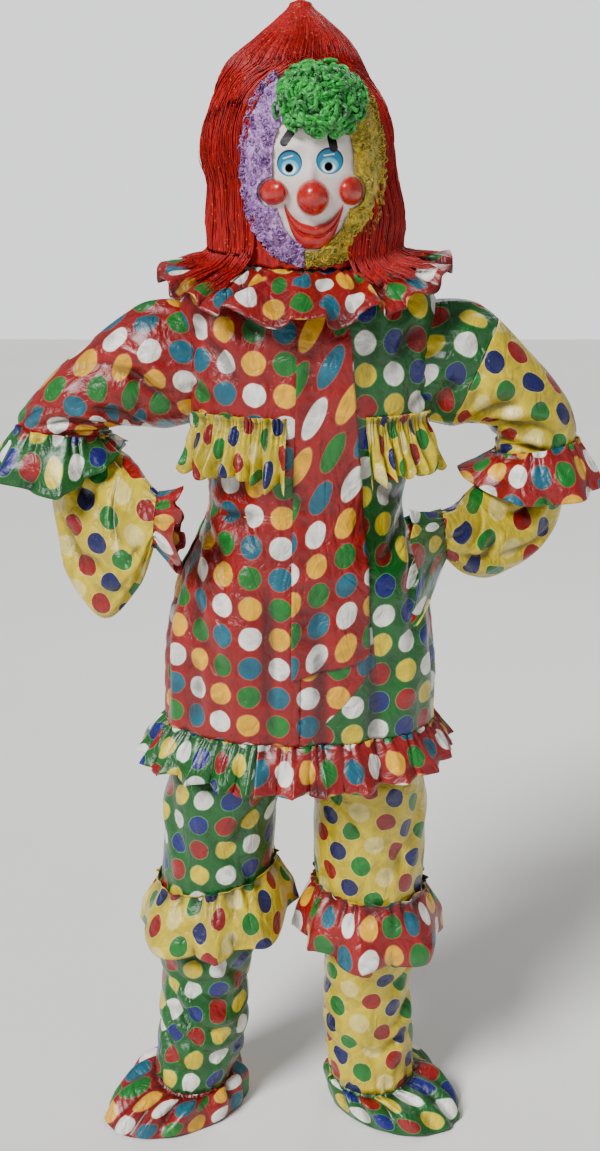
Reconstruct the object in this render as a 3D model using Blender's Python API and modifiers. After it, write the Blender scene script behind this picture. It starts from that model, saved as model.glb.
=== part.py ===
# Clown costume: a motley satin tunic and trousers with ruffles, a pointed red hair hood and a face mask.
# Every piece is its own object, cut and placed as it is worn, elbows out and wrists at the waist.
# Sizes are in metres. Tables give heights above the floor; the model's origin is between the shoulders.
# X runs to the viewer's right, the front faces -Y, +Z is up. Left and right are the viewer's.

from collections import namedtuple
from functools import partial
from math import pi, radians

import bmesh
import bpy
import numpy as np

# Driving dimensions
SHOULDER_HEIGHT = 1.380     # height of the origin above the floor
WALL = 0.0016               # satin, with its seam allowances
GAP = 0.0003                # between pieces that meet
SEAM_GAP = 0.0004           # across a seam between two panels of one garment
HAIR_WALL = 0.0026          # hair hood, and its locks
MASK_WALL = 0.0016          # moulded mask
POINTS_PER_WAVE = 4         # a ruffle wave: crest, side, trough, side

# Outline of the tunic, a row for each height
TunicRow = namedtuple("TunicRow", "height half_width front back centre_x")
TUNIC = [
    TunicRow(0.7050, 0.2100, 0.143, 0.138, 0.000),
    TunicRow(0.7900, 0.2075, 0.141, 0.139, 0.001),
    TunicRow(0.8700, 0.2000, 0.136, 0.136, 0.002),
    TunicRow(0.9400, 0.1840, 0.130, 0.132, 0.004),
    TunicRow(1.0000, 0.1590, 0.123, 0.127, 0.006),
    TunicRow(1.0450, 0.1460, 0.117, 0.122, 0.008),
    TunicRow(1.0900, 0.1510, 0.117, 0.122, 0.011),
    TunicRow(1.1500, 0.1750, 0.123, 0.125, 0.014),
    TunicRow(1.2200, 0.1850, 0.128, 0.126, 0.013),
    TunicRow(1.2900, 0.1870, 0.124, 0.122, 0.012),
    TunicRow(1.3300, 0.1870, 0.115, 0.116, 0.011),
    TunicRow(1.3520, 0.1810, 0.107, 0.110, 0.010),
    TunicRow(1.3700, 0.1650, 0.099, 0.105, 0.008),
    TunicRow(1.3860, 0.1390, 0.090, 0.100, 0.006),
    TunicRow(1.4000, 0.1070, 0.082, 0.093, 0.005),
    TunicRow(1.4120, 0.0800, 0.075, 0.084, 0.004),
]
TUNIC_BOTTOM = TUNIC[0].height
NECK_HEIGHT = TUNIC[-1].height
NECK_DIP = 0.022            # the neckline is lower at the front
YOKE_HEIGHT = 1.290         # where the dip starts to draw the shoulders down
TUNIC_HEIGHTS = [0.705, 0.79, 0.87, 0.94, 1.0, 1.045, 1.09, 1.15, 1.22, 1.29, 1.34, 1.37, 1.395, 1.412]
PANEL_COLUMNS = 8           # across one quarter of the tunic

# Largest folds of the tunic: where round the body, how wide, how high up, how tall, how far out
Fold = namedtuple("Fold", "turn_deg spread_deg height reach depth")
TUNIC_FOLDS = [
    Fold(-62, 11, 0.80, 0.16, 0.007),
    Fold(-28, 10, 0.86, 0.20, 0.006),
    Fold(-80, 9, 0.98, 0.10, -0.007),
    Fold(56, 10, 0.80, 0.18, 0.007),
    Fold(78, 10, 0.92, 0.14, -0.006),
    Fold(-40, 12, 1.06, 0.07, -0.006),
    Fold(120, 13, 0.84, 0.20, 0.007),
    Fold(160, 12, 0.92, 0.20, 0.006),
    Fold(-150, 13, 0.82, 0.20, 0.007),
    Fold(-118, 11, 0.95, 0.16, -0.006),
    Fold(180, 14, 1.20, 0.10, -0.006),
]

# Edges of the front flap by height; its foot is cut on a slant
FlapRow = namedtuple("FlapRow", "height left_x right_x")
FLAP = [
    FlapRow(0.800, -0.012, 0.105),
    FlapRow(0.900, -0.012, 0.101),
    FlapRow(1.000, -0.011, 0.093),
    FlapRow(1.100, -0.009, 0.085),
    FlapRow(1.200, -0.006, 0.077),
    FlapRow(1.290, -0.004, 0.069),
    FlapRow(1.350, -0.003, 0.061),
]
FLAP_FOOT_LEFT, FLAP_FOOT_RIGHT, FLAP_TOP = 0.808, 0.836, 1.332
LAID_ON = 0.0012            # how far a laid-on piece clears the facets beneath it

# Sleeves: a row for each section, from its outer and its inner edge as seen from the front
SleeveRow = namedtuple("SleeveRow", "outer_x outer_height inner_x inner_height centre_y half_depth")
SLEEVE_LEFT = [
    SleeveRow(-0.152, 1.343, -0.142, 1.170, 0.002, 0.062),
    SleeveRow(-0.222, 1.339, -0.196, 1.156, 0.004, 0.071),
    SleeveRow(-0.278, 1.306, -0.236, 1.157, 0.010, 0.072),
    SleeveRow(-0.345, 1.253, -0.264, 1.158, 0.018, 0.069),
    SleeveRow(-0.395, 1.204, -0.282, 1.154, 0.024, 0.065),
    SleeveRow(-0.419, 1.172, -0.289, 1.148, 0.028, 0.062),
    SleeveRow(-0.422, 1.148, -0.291, 1.139, 0.030, 0.060),
]
SLEEVE_RIGHT = [
    SleeveRow(0.178, 1.343, 0.168, 1.172, 0.002, 0.062),
    SleeveRow(0.252, 1.340, 0.222, 1.159, 0.004, 0.071),
    SleeveRow(0.300, 1.305, 0.252, 1.162, 0.010, 0.072),
    SleeveRow(0.352, 1.252, 0.278, 1.159, 0.018, 0.069),
    SleeveRow(0.394, 1.203, 0.292, 1.144, 0.024, 0.065),
    SleeveRow(0.414, 1.160, 0.297, 1.126, 0.028, 0.062),
    SleeveRow(0.415, 1.124, 0.299, 1.110, 0.030, 0.060),
]
BAND_SEAM_OUTER, BAND_SEAM_INNER = 1.75, 0.95   # where the right sleeve turns yellow, in sections
BAND_GAP = 0.006            # half of the seam there, in sections
LOWER_SLEEVE_LEFT = [
    SleeveRow(-0.4205, 1.1464, -0.2925, 1.1374, 0.030, 0.059),
    SleeveRow(-0.384, 1.085, -0.280, 1.122, 0.027, 0.050),
    SleeveRow(-0.372, 1.010, -0.262, 1.112, 0.014, 0.050),
    SleeveRow(-0.352, 0.925, -0.248, 1.104, -0.008, 0.052),
    SleeveRow(-0.298, 0.874, -0.236, 1.098, -0.036, 0.052),
    SleeveRow(-0.242, 0.925, -0.224, 1.088, -0.060, 0.044),
    SleeveRow(-0.214, 0.994, -0.206, 1.074, -0.080, 0.033),
]
LOWER_SLEEVE_RIGHT = [
    SleeveRow(0.4135, 1.1228, 0.3005, 1.1088, 0.030, 0.059),
    SleeveRow(0.402, 1.048, 0.288, 1.088, 0.026, 0.052),
    SleeveRow(0.382, 0.992, 0.270, 1.070, 0.010, 0.052),
    SleeveRow(0.336, 0.955, 0.250, 1.060, -0.018, 0.052),
    SleeveRow(0.286, 0.942, 0.238, 1.056, -0.046, 0.048),
    SleeveRow(0.246, 0.952, 0.224, 1.054, -0.076, 0.041),
    SleeveRow(0.212, 0.983, 0.204, 1.052, -0.100, 0.032),
]
SLEEVE_COLUMNS = 16

# Creases across the sleeves, in sections along them and degrees round from the outer edge
SleeveFold = namedtuple("SleeveFold", "along spread round_deg round_spread_deg depth")
SLEEVE_FOLDS = [
    SleeveFold(1.5, 0.35, 110, 50, -0.006),
    SleeveFold(2.6, 0.35, -100, 55, -0.006),
    SleeveFold(3.4, 0.35, 80, 60, 0.006),
    SleeveFold(4.4, 0.35, 180, 50, -0.005),
]
LOWER_SLEEVE_FOLDS = [
    SleeveFold(2.0, 0.5, 90, 40, -0.007),
    SleeveFold(3.2, 0.5, -60, 40, -0.008),
    SleeveFold(4.2, 0.5, 60, 45, 0.006),
]

# Trouser legs, a row for each height, from their edges as seen from the front
LegRow = namedtuple("LegRow", "height outer_x inner_x centre_y half_depth")
LEG_LEFT = [
    LegRow(0.0800, -0.2440, -0.1180, -0.006, 0.066),
    LegRow(0.1040, -0.2418, -0.1005, -0.002, 0.068),
    LegRow(0.1430, -0.2345, -0.0898, 0.000, 0.070),
    LegRow(0.2200, -0.2334, -0.0890, 0.000, 0.074),
    LegRow(0.2960, -0.2330, -0.0760, 0.000, 0.082),
    LegRow(0.4070, -0.2265, -0.0525, 0.000, 0.094),
    LegRow(0.4790, -0.2196, -0.0423, 0.000, 0.100),
    LegRow(0.5500, -0.2190, -0.0371, 0.000, 0.106),
    LegRow(0.6100, -0.2060, -0.0200, 0.002, 0.114),
]
LEG_RIGHT = [
    LegRow(0.0800, 0.1916, 0.0513, -0.006, 0.066),
    LegRow(0.1040, 0.1907, 0.0477, -0.002, 0.068),
    LegRow(0.1430, 0.1864, 0.0424, 0.000, 0.070),
    LegRow(0.2200, 0.1847, 0.0420, 0.000, 0.074),
    LegRow(0.2960, 0.1960, 0.0416, 0.000, 0.082),
    LegRow(0.4070, 0.1986, 0.0295, 0.000, 0.094),
    LegRow(0.4790, 0.2017, 0.0228, 0.000, 0.100),
    LegRow(0.5500, 0.2031, 0.0226, 0.000, 0.106),
    LegRow(0.6100, 0.1960, 0.0140, 0.002, 0.114),
]
LEG_COLUMNS = 16
LEG_OUTER_COLUMNS = 11      # of them, those that run on up over the hip
LEG_OUTER_START = radians(-38)
LEG_HEM_DROP = 0.030        # the hem dips over the instep
LegFold = namedtuple("LegFold", "height reach turn_deg spread_deg depth")
LEG_FOLDS = [
    LegFold(0.17, 0.030, -20, 60, 0.007),
    LegFold(0.24, 0.035, 60, 60, -0.007),
    LegFold(0.30, 0.030, -30, 55, 0.006),
    LegFold(0.51, 0.040, 30, 50, -0.006),
    LegFold(0.20, 0.035, 180, 60, 0.007),
    LegFold(0.52, 0.050, 170, 50, -0.006),
]

# Seat of the trousers, hidden by the tunic, up to the waist
HipRow = namedtuple("HipRow", "height half_width front back")
HIPS = [
    HipRow(0.655, 0.196, 0.118, 0.122),
    HipRow(0.740, 0.184, 0.112, 0.122),
    HipRow(0.860, 0.172, 0.107, 0.119),
    HipRow(1.000, 0.146, 0.106, 0.112),
]
WAIST_BOTTOM, WAIST_TOP = 1.034, 1.056
WAIST_CLEAR = 0.0020         # inside the tunic, where it is pressed in at the waist

# Ruffles: number of waves, wave half-height at the free edge
HEM_WAVES, HEM_WAVE = 26, 0.0085
COLLAR_WAVES, COLLAR_WAVE = 16, 0.0090
CHEST_WAVES, CHEST_WAVE = 5, 0.0080
ELBOW_WAVES, ELBOW_WAVE = 10, 0.0095
WRIST_WAVES, WRIST_WAVE = 7, 0.0070
KNEE_WAVES, KNEE_WAVE = 8, 0.0085
ANKLE_WAVES, ANKLE_WAVE = 10, 0.0085
HEADING = 0.006             # stitched strip at a ruffle's seam

# Knee ruffles: height of the seam, how much lower it is on the outer side, and drop
KneeRuffle = namedtuple("KneeRuffle", "name material side height tilt drop")
KNEE_RUFFLES = [
    KneeRuffle("knee_ruffle_left", "satin_yellow", -1, 0.432, 0.018, 0.082),
    KneeRuffle("knee_ruffle_right", "satin_red", 1, 0.412, 0.004, 0.080),
]
KNEE_FLARE, KNEE_FRONT_FLARE, KNEE_FRONT_DROP = 0.024, 0.016, 0.012

# Drop and flare of the hem ruffle, by the degrees round from the front; 180 stands at both ends
HemRow = namedtuple("HemRow", "turn_deg drop flare")
HEM = [
    HemRow(-180, 0.066, 0.030),
    HemRow(-90, 0.060, 0.044),
    HemRow(-45, 0.064, 0.036),
    HemRow(0, 0.068, 0.032),
    HemRow(45, 0.062, 0.032),
    HemRow(90, 0.044, 0.030),
    HemRow(180, 0.066, 0.030),
]
HEM_SEAM_TURN = -17         # where the hem ruffle's green length meets its red one

# Elbow ruffles, by the degrees round from the sleeve's outer edge: 90 is the front, 180 the inner edge,
# where the ruffle lies along the lower sleeve
ELBOW_SEAM = 5.55           # in sections of the sleeve
ELBOW_LEAN = 0.10           # how far it leans outwards, as a share of its drop
ElbowRow = namedtuple("ElbowRow", "turn_deg drop flare wave_share")
ELBOW_LEFT = [
    ElbowRow(0, 0.058, 0.030, 1.0),
    ElbowRow(90, 0.084, 0.034, 1.0),
    ElbowRow(140, 0.038, 0.038, 0.5),
    ElbowRow(180, 0.012, 0.036, 0.25),
    ElbowRow(220, 0.040, 0.034, 0.6),
    ElbowRow(270, 0.072, 0.032, 1.0),
    ElbowRow(360, 0.058, 0.030, 1.0),
]
ELBOW_RIGHT = [
    ElbowRow(0, 0.070, 0.030, 1.0),
    ElbowRow(90, 0.078, 0.036, 1.0),
    ElbowRow(140, 0.056, 0.048, 0.7),
    ElbowRow(180, 0.026, 0.056, 0.35),
    ElbowRow(220, 0.046, 0.042, 0.7),
    ElbowRow(270, 0.070, 0.032, 1.0),
    ElbowRow(360, 0.070, 0.030, 1.0),
]

# Wrist frills: length along the arm, how far its lower front hangs down, how far it swings forward
WristFrill = namedtuple("WristFrill", "name material side length droop forward")
WRIST_FRILLS = [
    WristFrill("wrist_frill_left", "satin_red", 1, 0.034, 0.020, 0.012),
    WristFrill("wrist_frill_right", "satin_green", -1, 0.046, 0.085, 0.044),
]
WRIST_FLARE, WRIST_FRONT_FLARE, WRIST_SAG = 0.008, 0.012, 0.25

# Collar ruffle: how far it reaches out and down, by the degrees round from the front
CollarRow = namedtuple("CollarRow", "turn_deg reach drop")
COLLAR = [
    CollarRow(-180, 0.090, 0.062),
    CollarRow(-90, 0.104, 0.020),
    CollarRow(-45, 0.090, 0.048),
    CollarRow(0, 0.078, 0.066),
    CollarRow(45, 0.090, 0.044),
    CollarRow(90, 0.108, 0.006),
    CollarRow(180, 0.090, 0.062),
]

# Chest ruffles: from the flap to the side seam, at this height. Their clearance is from the tunic's
# smooth surface, which its facets lie inside
CHEST_SEAM_HEIGHT = 1.180
CHEST_FLARE = 0.014         # at the flap
ChestRuffle = namedtuple("ChestRuffle", "start_x end_x start_drop end_drop end_flare clearance")
CHEST_LEFT = ChestRuffle(-0.018, -0.150, 0.092, 0.068, 0.022, -0.0001)
CHEST_RIGHT = ChestRuffle(0.092, 0.180, 0.088, 0.066, 0.026, -0.0004)

# Outline of the feet on the floor: centre, half length, half width, turn of the toe
Foot = namedtuple("Foot", "centre_x centre_y half_length half_width toe_x toe_y")
FOOT_LEFT = Foot(-0.208, -0.026, 0.134, 0.090, -0.86, -0.50)
FOOT_RIGHT = Foot(0.160, -0.018, 0.124, 0.092, 0.82, -0.57)
FOOT_ROWS = [0.0, 0.40, 0.75, 1.0]

# Hair hood, a row for each height
HoodRow = namedtuple("HoodRow", "height half_width front back centre_x")
HOOD = [
    HoodRow(1.4262, 0.1320, 0.090, 0.112, 0.008),
    HoodRow(1.4542, 0.1350, 0.095, 0.118, 0.010),
    HoodRow(1.4820, 0.1320, 0.099, 0.124, 0.008),
    HoodRow(1.5096, 0.1280, 0.102, 0.128, 0.004),
    HoodRow(1.5369, 0.1310, 0.104, 0.130, -0.002),
    HoodRow(1.5641, 0.1300, 0.104, 0.130, -0.003),
    HoodRow(1.5910, 0.1240, 0.102, 0.127, -0.004),
    HoodRow(1.6178, 0.1140, 0.098, 0.120, -0.004),
    HoodRow(1.6443, 0.1005, 0.090, 0.108, -0.008),
    HoodRow(1.6707, 0.0860, 0.076, 0.090, -0.008),
    HoodRow(1.6968, 0.0600, 0.055, 0.066, 0.000),
    HoodRow(1.7227, 0.0320, 0.030, 0.036, 0.002),
    HoodRow(1.7400, 0.0140, 0.013, 0.016, 0.001),
]
HOOD_TIP = 1.7465
HOOD_HEIGHTS = [1.4542, 1.482, 1.5096, 1.5369, 1.5641, 1.591, 1.6178, 1.6443, 1.6707, 1.6968, 1.7227, 1.74]
HOOD_COLUMNS = 22

# Mask: an oval plate with a domed face
MASK_CENTRE_X, MASK_CENTRE_HEIGHT = 0.018, 1.528
MASK_HALF_WIDTH, MASK_HALF_HEIGHT = 0.098, 0.131
MASK_FRONT = -0.124
MASK_CURVE_X, MASK_CURVE_Z = 3.4, 1.5    # how fast the face falls back from its middle
MASK_GRID = 11
EYES = [(-0.0145, 1.524), (0.0380, 1.526)]
EYE_HOLE_RADIUS = 0.0048

# What is raised on the mask: centre, half sizes and height of each dome
Dome = namedtuple("Dome", "name material centre_x centre_height half_width half_height rise cells")
DOMES = [
    Dome("mask_nose", "mask_red", 0.0170, 1.4860, 0.0225, 0.0240, 0.030, 6),
    Dome("mask_cheek_left", "mask_red", -0.0360, 1.4930, 0.0190, 0.0170, 0.018, 5),
    Dome("mask_cheek_right", "mask_red", 0.0690, 1.4945, 0.0170, 0.0190, 0.018, 5),
]
LIPS = {"left_x": -0.021, "right_x": 0.058, "corner_height": 1.474, "middle_height": 1.434,
        "half_width": 0.0170, "rise": 0.007, "cells": 10}

# Curls round the face, on the mask's own plate: turns in degrees from +X, and how far in they reach
# at the sides and under the chin, as shares of the plate
Curls = namedtuple("Curls", "name material start_deg end_deg inner chin_inner rise columns rows lumps")
CURLS = [
    Curls("curls_lilac", "curls_lilac", 118, 264, 0.57, 0.80, 0.012, 12, 3, 7),
    Curls("curls_yellow", "curls_yellow", 44, -95, 0.56, 0.80, 0.010, 12, 3, 7),
]
KNOB_LIFT = 0.0006          # of the nose and cheeks, over the mask's facets
CURLS_LIFT = 0.0032         # the same for what is wider
ROOM_MARGIN = 0.0012        # round what the curls make room for
TUFT = {"centre_x": 0.0270, "centre_height": 1.6110, "half_width": 0.0600, "half_height": 0.0460,
        "rise": 0.034, "cells": 8, "lumps": 5}

# Loose hair over the collar, in degrees round from the front
Locks = namedtuple("Locks", "name start_deg end_deg count inner_reach outer_reach tip_reach")
LOCKS = [
    Locks("hood_locks_left", -108, -32, 10, 0.34, 0.60, 0.93),
    Locks("hood_locks_right", 26, 104, 10, 0.34, 0.60, 0.96),
]

LOCK_ROOT = 0.44            # half the width of a lock at its root, as a share of their pitch
LOCK_WIDTHS = [(0.5, 0.30), (1.0, 0.06)]    # the same along the lock, from its root to its tip
LOCK_SWING = 0.25
LOCK_SHORTER = 0.10         # by how much locks differ in reach

COLOURS = {
    "satin_red": (0.62, 0.03, 0.03), "satin_green": (0.02, 0.36, 0.10), "satin_yellow": (0.85, 0.66, 0.05),
    "hair_red": (0.72, 0.02, 0.02), "mask_white": (0.86, 0.80, 0.76), "mask_red": (0.70, 0.03, 0.03),
    "curls_lilac": (0.50, 0.28, 0.62), "curls_yellow": (0.72, 0.62, 0.06), "curls_green": (0.02, 0.42, 0.10),
}
ROUGHNESS = {"satin_red": 0.36, "satin_green": 0.36, "satin_yellow": 0.36, "hair_red": 0.42,
             "mask_white": 0.4, "mask_red": 0.35, "curls_lilac": 0.6, "curls_yellow": 0.6, "curls_green": 0.6}


# Tables

def at(table, row):
    """Values of a table at fractional rows, on a smooth curve through all of its rows."""
    values = np.array(table, dtype=float)
    row = np.clip(np.asarray(row, dtype=float), 0, len(values) - 1)
    low = np.minimum(row.astype(int), len(values) - 2)
    part = (row - low)[..., None]
    before, first = values[np.maximum(low - 1, 0)], values[low]
    second, after = values[low + 1], values[np.minimum(low + 2, len(values) - 1)]
    slope_a, slope_b = (second - before) / 2, (after - first) / 2
    curve = ((2 * part ** 3 - 3 * part ** 2 + 1) * first + (part ** 3 - 2 * part ** 2 + part) * slope_a
             + (3 * part ** 2 - 2 * part ** 3) * second + (part ** 3 - part ** 2) * slope_b)
    return np.moveaxis(curve, -1, 0)


def at_key(table, key):
    """Values of a table whose first column rises, at given values of that column."""
    keys = [row[0] for row in table]
    return at(table, np.interp(key, keys, range(len(keys))))


def bump(value, centre, spread):
    return np.exp(-((value - centre) / spread) ** 2)


def turn_bump(turn, centre_deg, spread_deg):
    """The same, for an angle, which comes round again after a full turn."""
    apart = np.angle(np.exp(1j * (turn - radians(centre_deg))))
    return np.exp(-(apart / radians(spread_deg)) ** 2)


# Surfaces: each gives points for an angle round from the front and a second number

def neck_height(turn):
    """Height of the neckline, lowest at the front."""
    return NECK_HEIGHT - NECK_DIP * ((1 + np.cos(turn)) / 2) ** 2


def tunic_point(turn, height):
    """An oval at each height, with the large folds pushed out along its radius."""
    turn, height = np.broadcast_arrays(turn, height)
    _, half_width, front, back, centre_x = at_key(TUNIC, height)
    depth = np.where(np.cos(turn) > 0, front, back)
    push = sum(fold.depth * turn_bump(turn, fold.turn_deg, fold.spread_deg)
               * bump(height, fold.height, fold.reach) for fold in TUNIC_FOLDS)
    x = centre_x + (half_width + push) * np.sin(turn)
    y = -(depth + push) * np.cos(turn)
    return np.stack([x, y, height], axis=-1)


def tunic_turn(x, height):
    """The angle at which the tunic's front is at x."""
    _, half_width, _, _, centre_x = at_key(TUNIC, height)
    return np.arcsin(np.clip((x - centre_x) / half_width, -1, 1))


def hood_point(turn, height):
    turn, height = np.broadcast_arrays(turn, height)
    _, half_width, front, back, centre_x = at_key(HOOD, height)
    depth = np.where(np.cos(turn) > 0, front, back)
    return np.stack([centre_x + half_width * np.sin(turn), -depth * np.cos(turn), height], axis=-1)


def sleeve_point(table, folds, turn, along):
    """An oval across the sleeve at each place along it: 0 on its outer edge, 180 on its inner edge."""
    turn, along = np.broadcast_arrays(turn, along)
    outer_x, outer_z, inner_x, inner_z, centre_y, half_depth = at(table, along)
    push = 1 + sum(fold.depth / 0.065 * bump(along, fold.along, fold.spread)
                   * turn_bump(turn, fold.round_deg, fold.round_spread_deg) for fold in folds)
    x = (outer_x + inner_x) / 2 + (outer_x - inner_x) / 2 * np.cos(turn) * push
    z = (outer_z + inner_z) / 2 + (outer_z - inner_z) / 2 * np.cos(turn) * push
    return np.stack([x, centre_y - half_depth * np.sin(turn) * push, z], axis=-1)


def leg_point(table, turn, height):
    """An oval at each height; the turn is 0 at the front and 90 on the outer side."""
    turn, height = np.broadcast_arrays(turn, height)
    _, outer_x, inner_x, centre_y, half_depth = at_key(table, height)
    push = sum(fold.depth * turn_bump(turn, fold.turn_deg, fold.spread_deg)
               * bump(height, fold.height, fold.reach) for fold in LEG_FOLDS)
    scale = 1 + push / half_depth
    x = (outer_x + inner_x) / 2 + (outer_x - inner_x) / 2 * np.sin(turn) * scale
    return np.stack([x, centre_y - half_depth * np.cos(turn) * scale, height], axis=-1)


def mask_outline(angle):
    """The mask's edge seen from the front: a slightly squared oval."""
    return (MASK_CENTRE_X + MASK_HALF_WIDTH * np.sign(np.cos(angle)) * np.abs(np.cos(angle)) ** 0.86,
            MASK_CENTRE_HEIGHT + MASK_HALF_HEIGHT * np.sign(np.sin(angle)) * np.abs(np.sin(angle)) ** 0.86)


def mask_point(x, height):
    """The face falls back from its middle, and at the rim it meets the hood's own surface."""
    across, up = (x - MASK_CENTRE_X) / MASK_HALF_WIDTH, (height - MASK_CENTRE_HEIGHT) / MASK_HALF_HEIGHT
    out = np.hypot(across, up)
    rim_x, rim_height = mask_outline(np.arctan2(up, across))
    _, half_width, front, _, centre_x = at_key(HOOD, np.maximum(rim_height, HOOD[0].height))
    rim_y = -front * np.sqrt(np.maximum(1 - ((rim_x - centre_x) / half_width) ** 2, 0.05))
    face_y = (MASK_FRONT + MASK_CURVE_X * (x - MASK_CENTRE_X) ** 2
              + MASK_CURVE_Z * (height - MASK_CENTRE_HEIGHT) ** 2)
    return np.stack([x, face_y + (rim_y - face_y) * np.minimum(out, 1.0) ** 3, height], axis=-1)


def moved_out(surface, first, second, distance, step=1e-4):
    """Points of a surface moved along its outward side, so that a piece can lie on it."""
    first, second = np.broadcast_arrays(np.asarray(first, float), np.asarray(second, float))
    along_first = surface(first + step, second) - surface(first - step, second)
    along_second = surface(first, second + step) - surface(first, second - step)
    side = np.cross(along_first, along_second)
    side /= np.linalg.norm(side, axis=-1, keepdims=True)
    return surface(first, second) + side * np.asarray(distance)[..., None]


def disc(cells):
    """A square grid rounded into a disc of radius 1."""
    line = np.linspace(-1, 1, cells + 1)
    across, up = np.meshgrid(line, line)
    return across * np.sqrt(1 - up ** 2 / 2), up * np.sqrt(1 - across ** 2 / 2)


# Meshes

def new_object(name, mesh, material, collection):
    thing = bpy.data.objects.new(name, mesh)
    collection.objects.link(thing)
    finish = bpy.data.materials.get(material) or bpy.data.materials.new(material)
    finish.use_nodes = True
    shader = finish.node_tree.nodes["Principled BSDF"]
    shader.inputs["Base Color"].default_value = (*COLOURS[material], 1.0)
    shader.inputs["Roughness"].default_value = ROUGHNESS[material]
    mesh.materials.append(finish)
    return thing


def grid_faces(rows, columns, closed, keep=None):
    """Quads of a grid; a closed one joins its last column to its first."""
    faces = []
    for row in range(rows - 1):
        for column in range(columns if closed else columns - 1):
            after = (column + 1) % columns
            if keep is None or keep(row, column):
                faces.append((row * columns + column, row * columns + after,
                              (row + 1) * columns + after, (row + 1) * columns + column))
    return faces


def surface_mesh(name, points, closed=False, keep=None, pole=None, flip=False):
    rows, columns = points.shape[:2]
    faces = grid_faces(rows, columns, closed, keep)
    vertices = points.reshape(-1, 3).tolist()
    if pole is not None:
        vertices.append(list(pole))
        last = (rows - 1) * columns
        faces += [(last + column, last + (column + 1) % columns, rows * columns) for column in range(columns)]
    if flip:
        faces = [face[::-1] for face in faces]
    used = sorted({index for face in faces for index in face})
    number = {index: place for place, index in enumerate(used)}
    placed = [(x, y, z - SHOULDER_HEIGHT) for x, y, z in (vertices[index] for index in used)]
    mesh = bpy.data.meshes.new(name)
    mesh.from_pydata(placed, [], [[number[index] for index in face] for face in faces])
    mesh.shade_smooth()
    return mesh


def cloth(name, points, material, wall=WALL, **how):
    """A piece of cloth: an open surface, given its thickness on the outer side."""
    thing = new_object(name, surface_mesh(name, points, **how), material, costume)
    thickness = thing.modifiers.new("wall", "SOLIDIFY")
    thickness.thickness = wall
    thickness.offset = 1.0
    return thing


def slab(name, inner, outer, material, flip=False):
    """A solid between an inner and an outer grid of the same size, which are unlike surfaces."""
    rows, columns = inner.shape[:2]
    count = rows * columns
    front = grid_faces(rows, columns, False)
    faces = front + [tuple(index + count for index in reversed(face)) for face in front]
    rim = [column for column in range(columns)]
    rim += [row * columns + columns - 1 for row in range(1, rows)]
    rim += [(rows - 1) * columns + column for column in range(columns - 2, -1, -1)]
    rim += [row * columns for row in range(rows - 2, 0, -1)]
    for here, there in zip(rim, rim[1:] + rim[:1]):
        faces.append((there, here, here + count, there + count))
    if flip:
        faces = [face[::-1] for face in faces]
    vertices = np.concatenate([outer.reshape(-1, 3), inner.reshape(-1, 3)])
    mesh = bpy.data.meshes.new(name)
    mesh.from_pydata([(x, y, z - SHOULDER_HEIGHT) for x, y, z in vertices.tolist()], [], faces)
    mesh.shade_smooth()
    return new_object(name, mesh, material, costume)


def cut(thing, cutter):
    hole = thing.modifiers.new("cut", "BOOLEAN")
    hole.operation = "DIFFERENCE"
    hole.object = cutter
    hole.solver = "EXACT"


def tube_cutter(name, points):
    """A closed tube through rings of points, with flat ends, to cut a hole with."""
    mesh = surface_mesh(name, points, closed=True)
    shape = bmesh.new()
    shape.from_mesh(mesh)
    bmesh.ops.holes_fill(shape, edges=shape.edges, sides=0)
    bmesh.ops.recalc_face_normals(shape, faces=shape.faces)
    shape.to_mesh(mesh)
    shape.free()
    cutter = bpy.data.objects.new(name, mesh)
    cutters.objects.link(cutter)
    cutter.hide_render = True
    cutter.display_type = "WIRE"
    return cutter


# Ruffles

def wave(count, columns, uneven=0.18):
    """Wave heights from -1 to 1 at each column, with the crests a little uneven."""
    share = np.linspace(0, 1, columns)
    drift = uneven * np.sin(2 * pi * 3 * share) * np.sin(pi * share) ** 2
    size = 1 - 0.22 * np.sin(2 * pi * 2.0 * share + 1.0) ** 2
    return np.cos(2 * pi * (count * share + drift)) * size


def flounce(base, out, fall, waves, height, rows=3):
    """A ruffle from its seam: each column runs down by fall and out by out, and waves grow towards its edge.

    base, out and fall are arrays of points and vectors, one for each column."""
    length = np.linalg.norm(out + fall, axis=-1)
    heading = HEADING / length
    shares = [np.zeros_like(heading), heading]
    shares += [heading + (1 - heading) * step / (rows - 1) for step in range(1, rows)]
    out_unit = out / np.maximum(np.linalg.norm(out, axis=-1, keepdims=True), 1e-9)
    grid = []
    for share in shares:
        spread = np.maximum(share - heading, 0) / (1 - heading)
        grid.append(base + fall * share[:, None] + out * spread[:, None] ** 0.8
                    + out_unit * (waves * height * spread ** 0.9)[:, None])
    return np.array(grid)


# Tunic

def tunic_panel(name, start_deg, end_deg, material):
    """A quarter of the tunic, between two seams."""
    heights = np.array(TUNIC_HEIGHTS)[:, None]
    _, half_width, front, back, _ = at_key(TUNIC, heights)
    trim = SEAM_GAP / 2 / np.minimum(half_width, np.minimum(front, back))
    share = np.linspace(0, 1, PANEL_COLUMNS + 1)
    turns = radians(start_deg) + trim + share * (radians(end_deg - start_deg) - 2 * trim)
    drawn = (neck_height(turns) - YOKE_HEIGHT) / (NECK_HEIGHT - YOKE_HEIGHT)
    heights = np.where(heights > YOKE_HEIGHT, YOKE_HEIGHT + (heights - YOKE_HEIGHT) * drawn, heights)
    return cloth(name, tunic_point(turns, heights), material)


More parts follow.
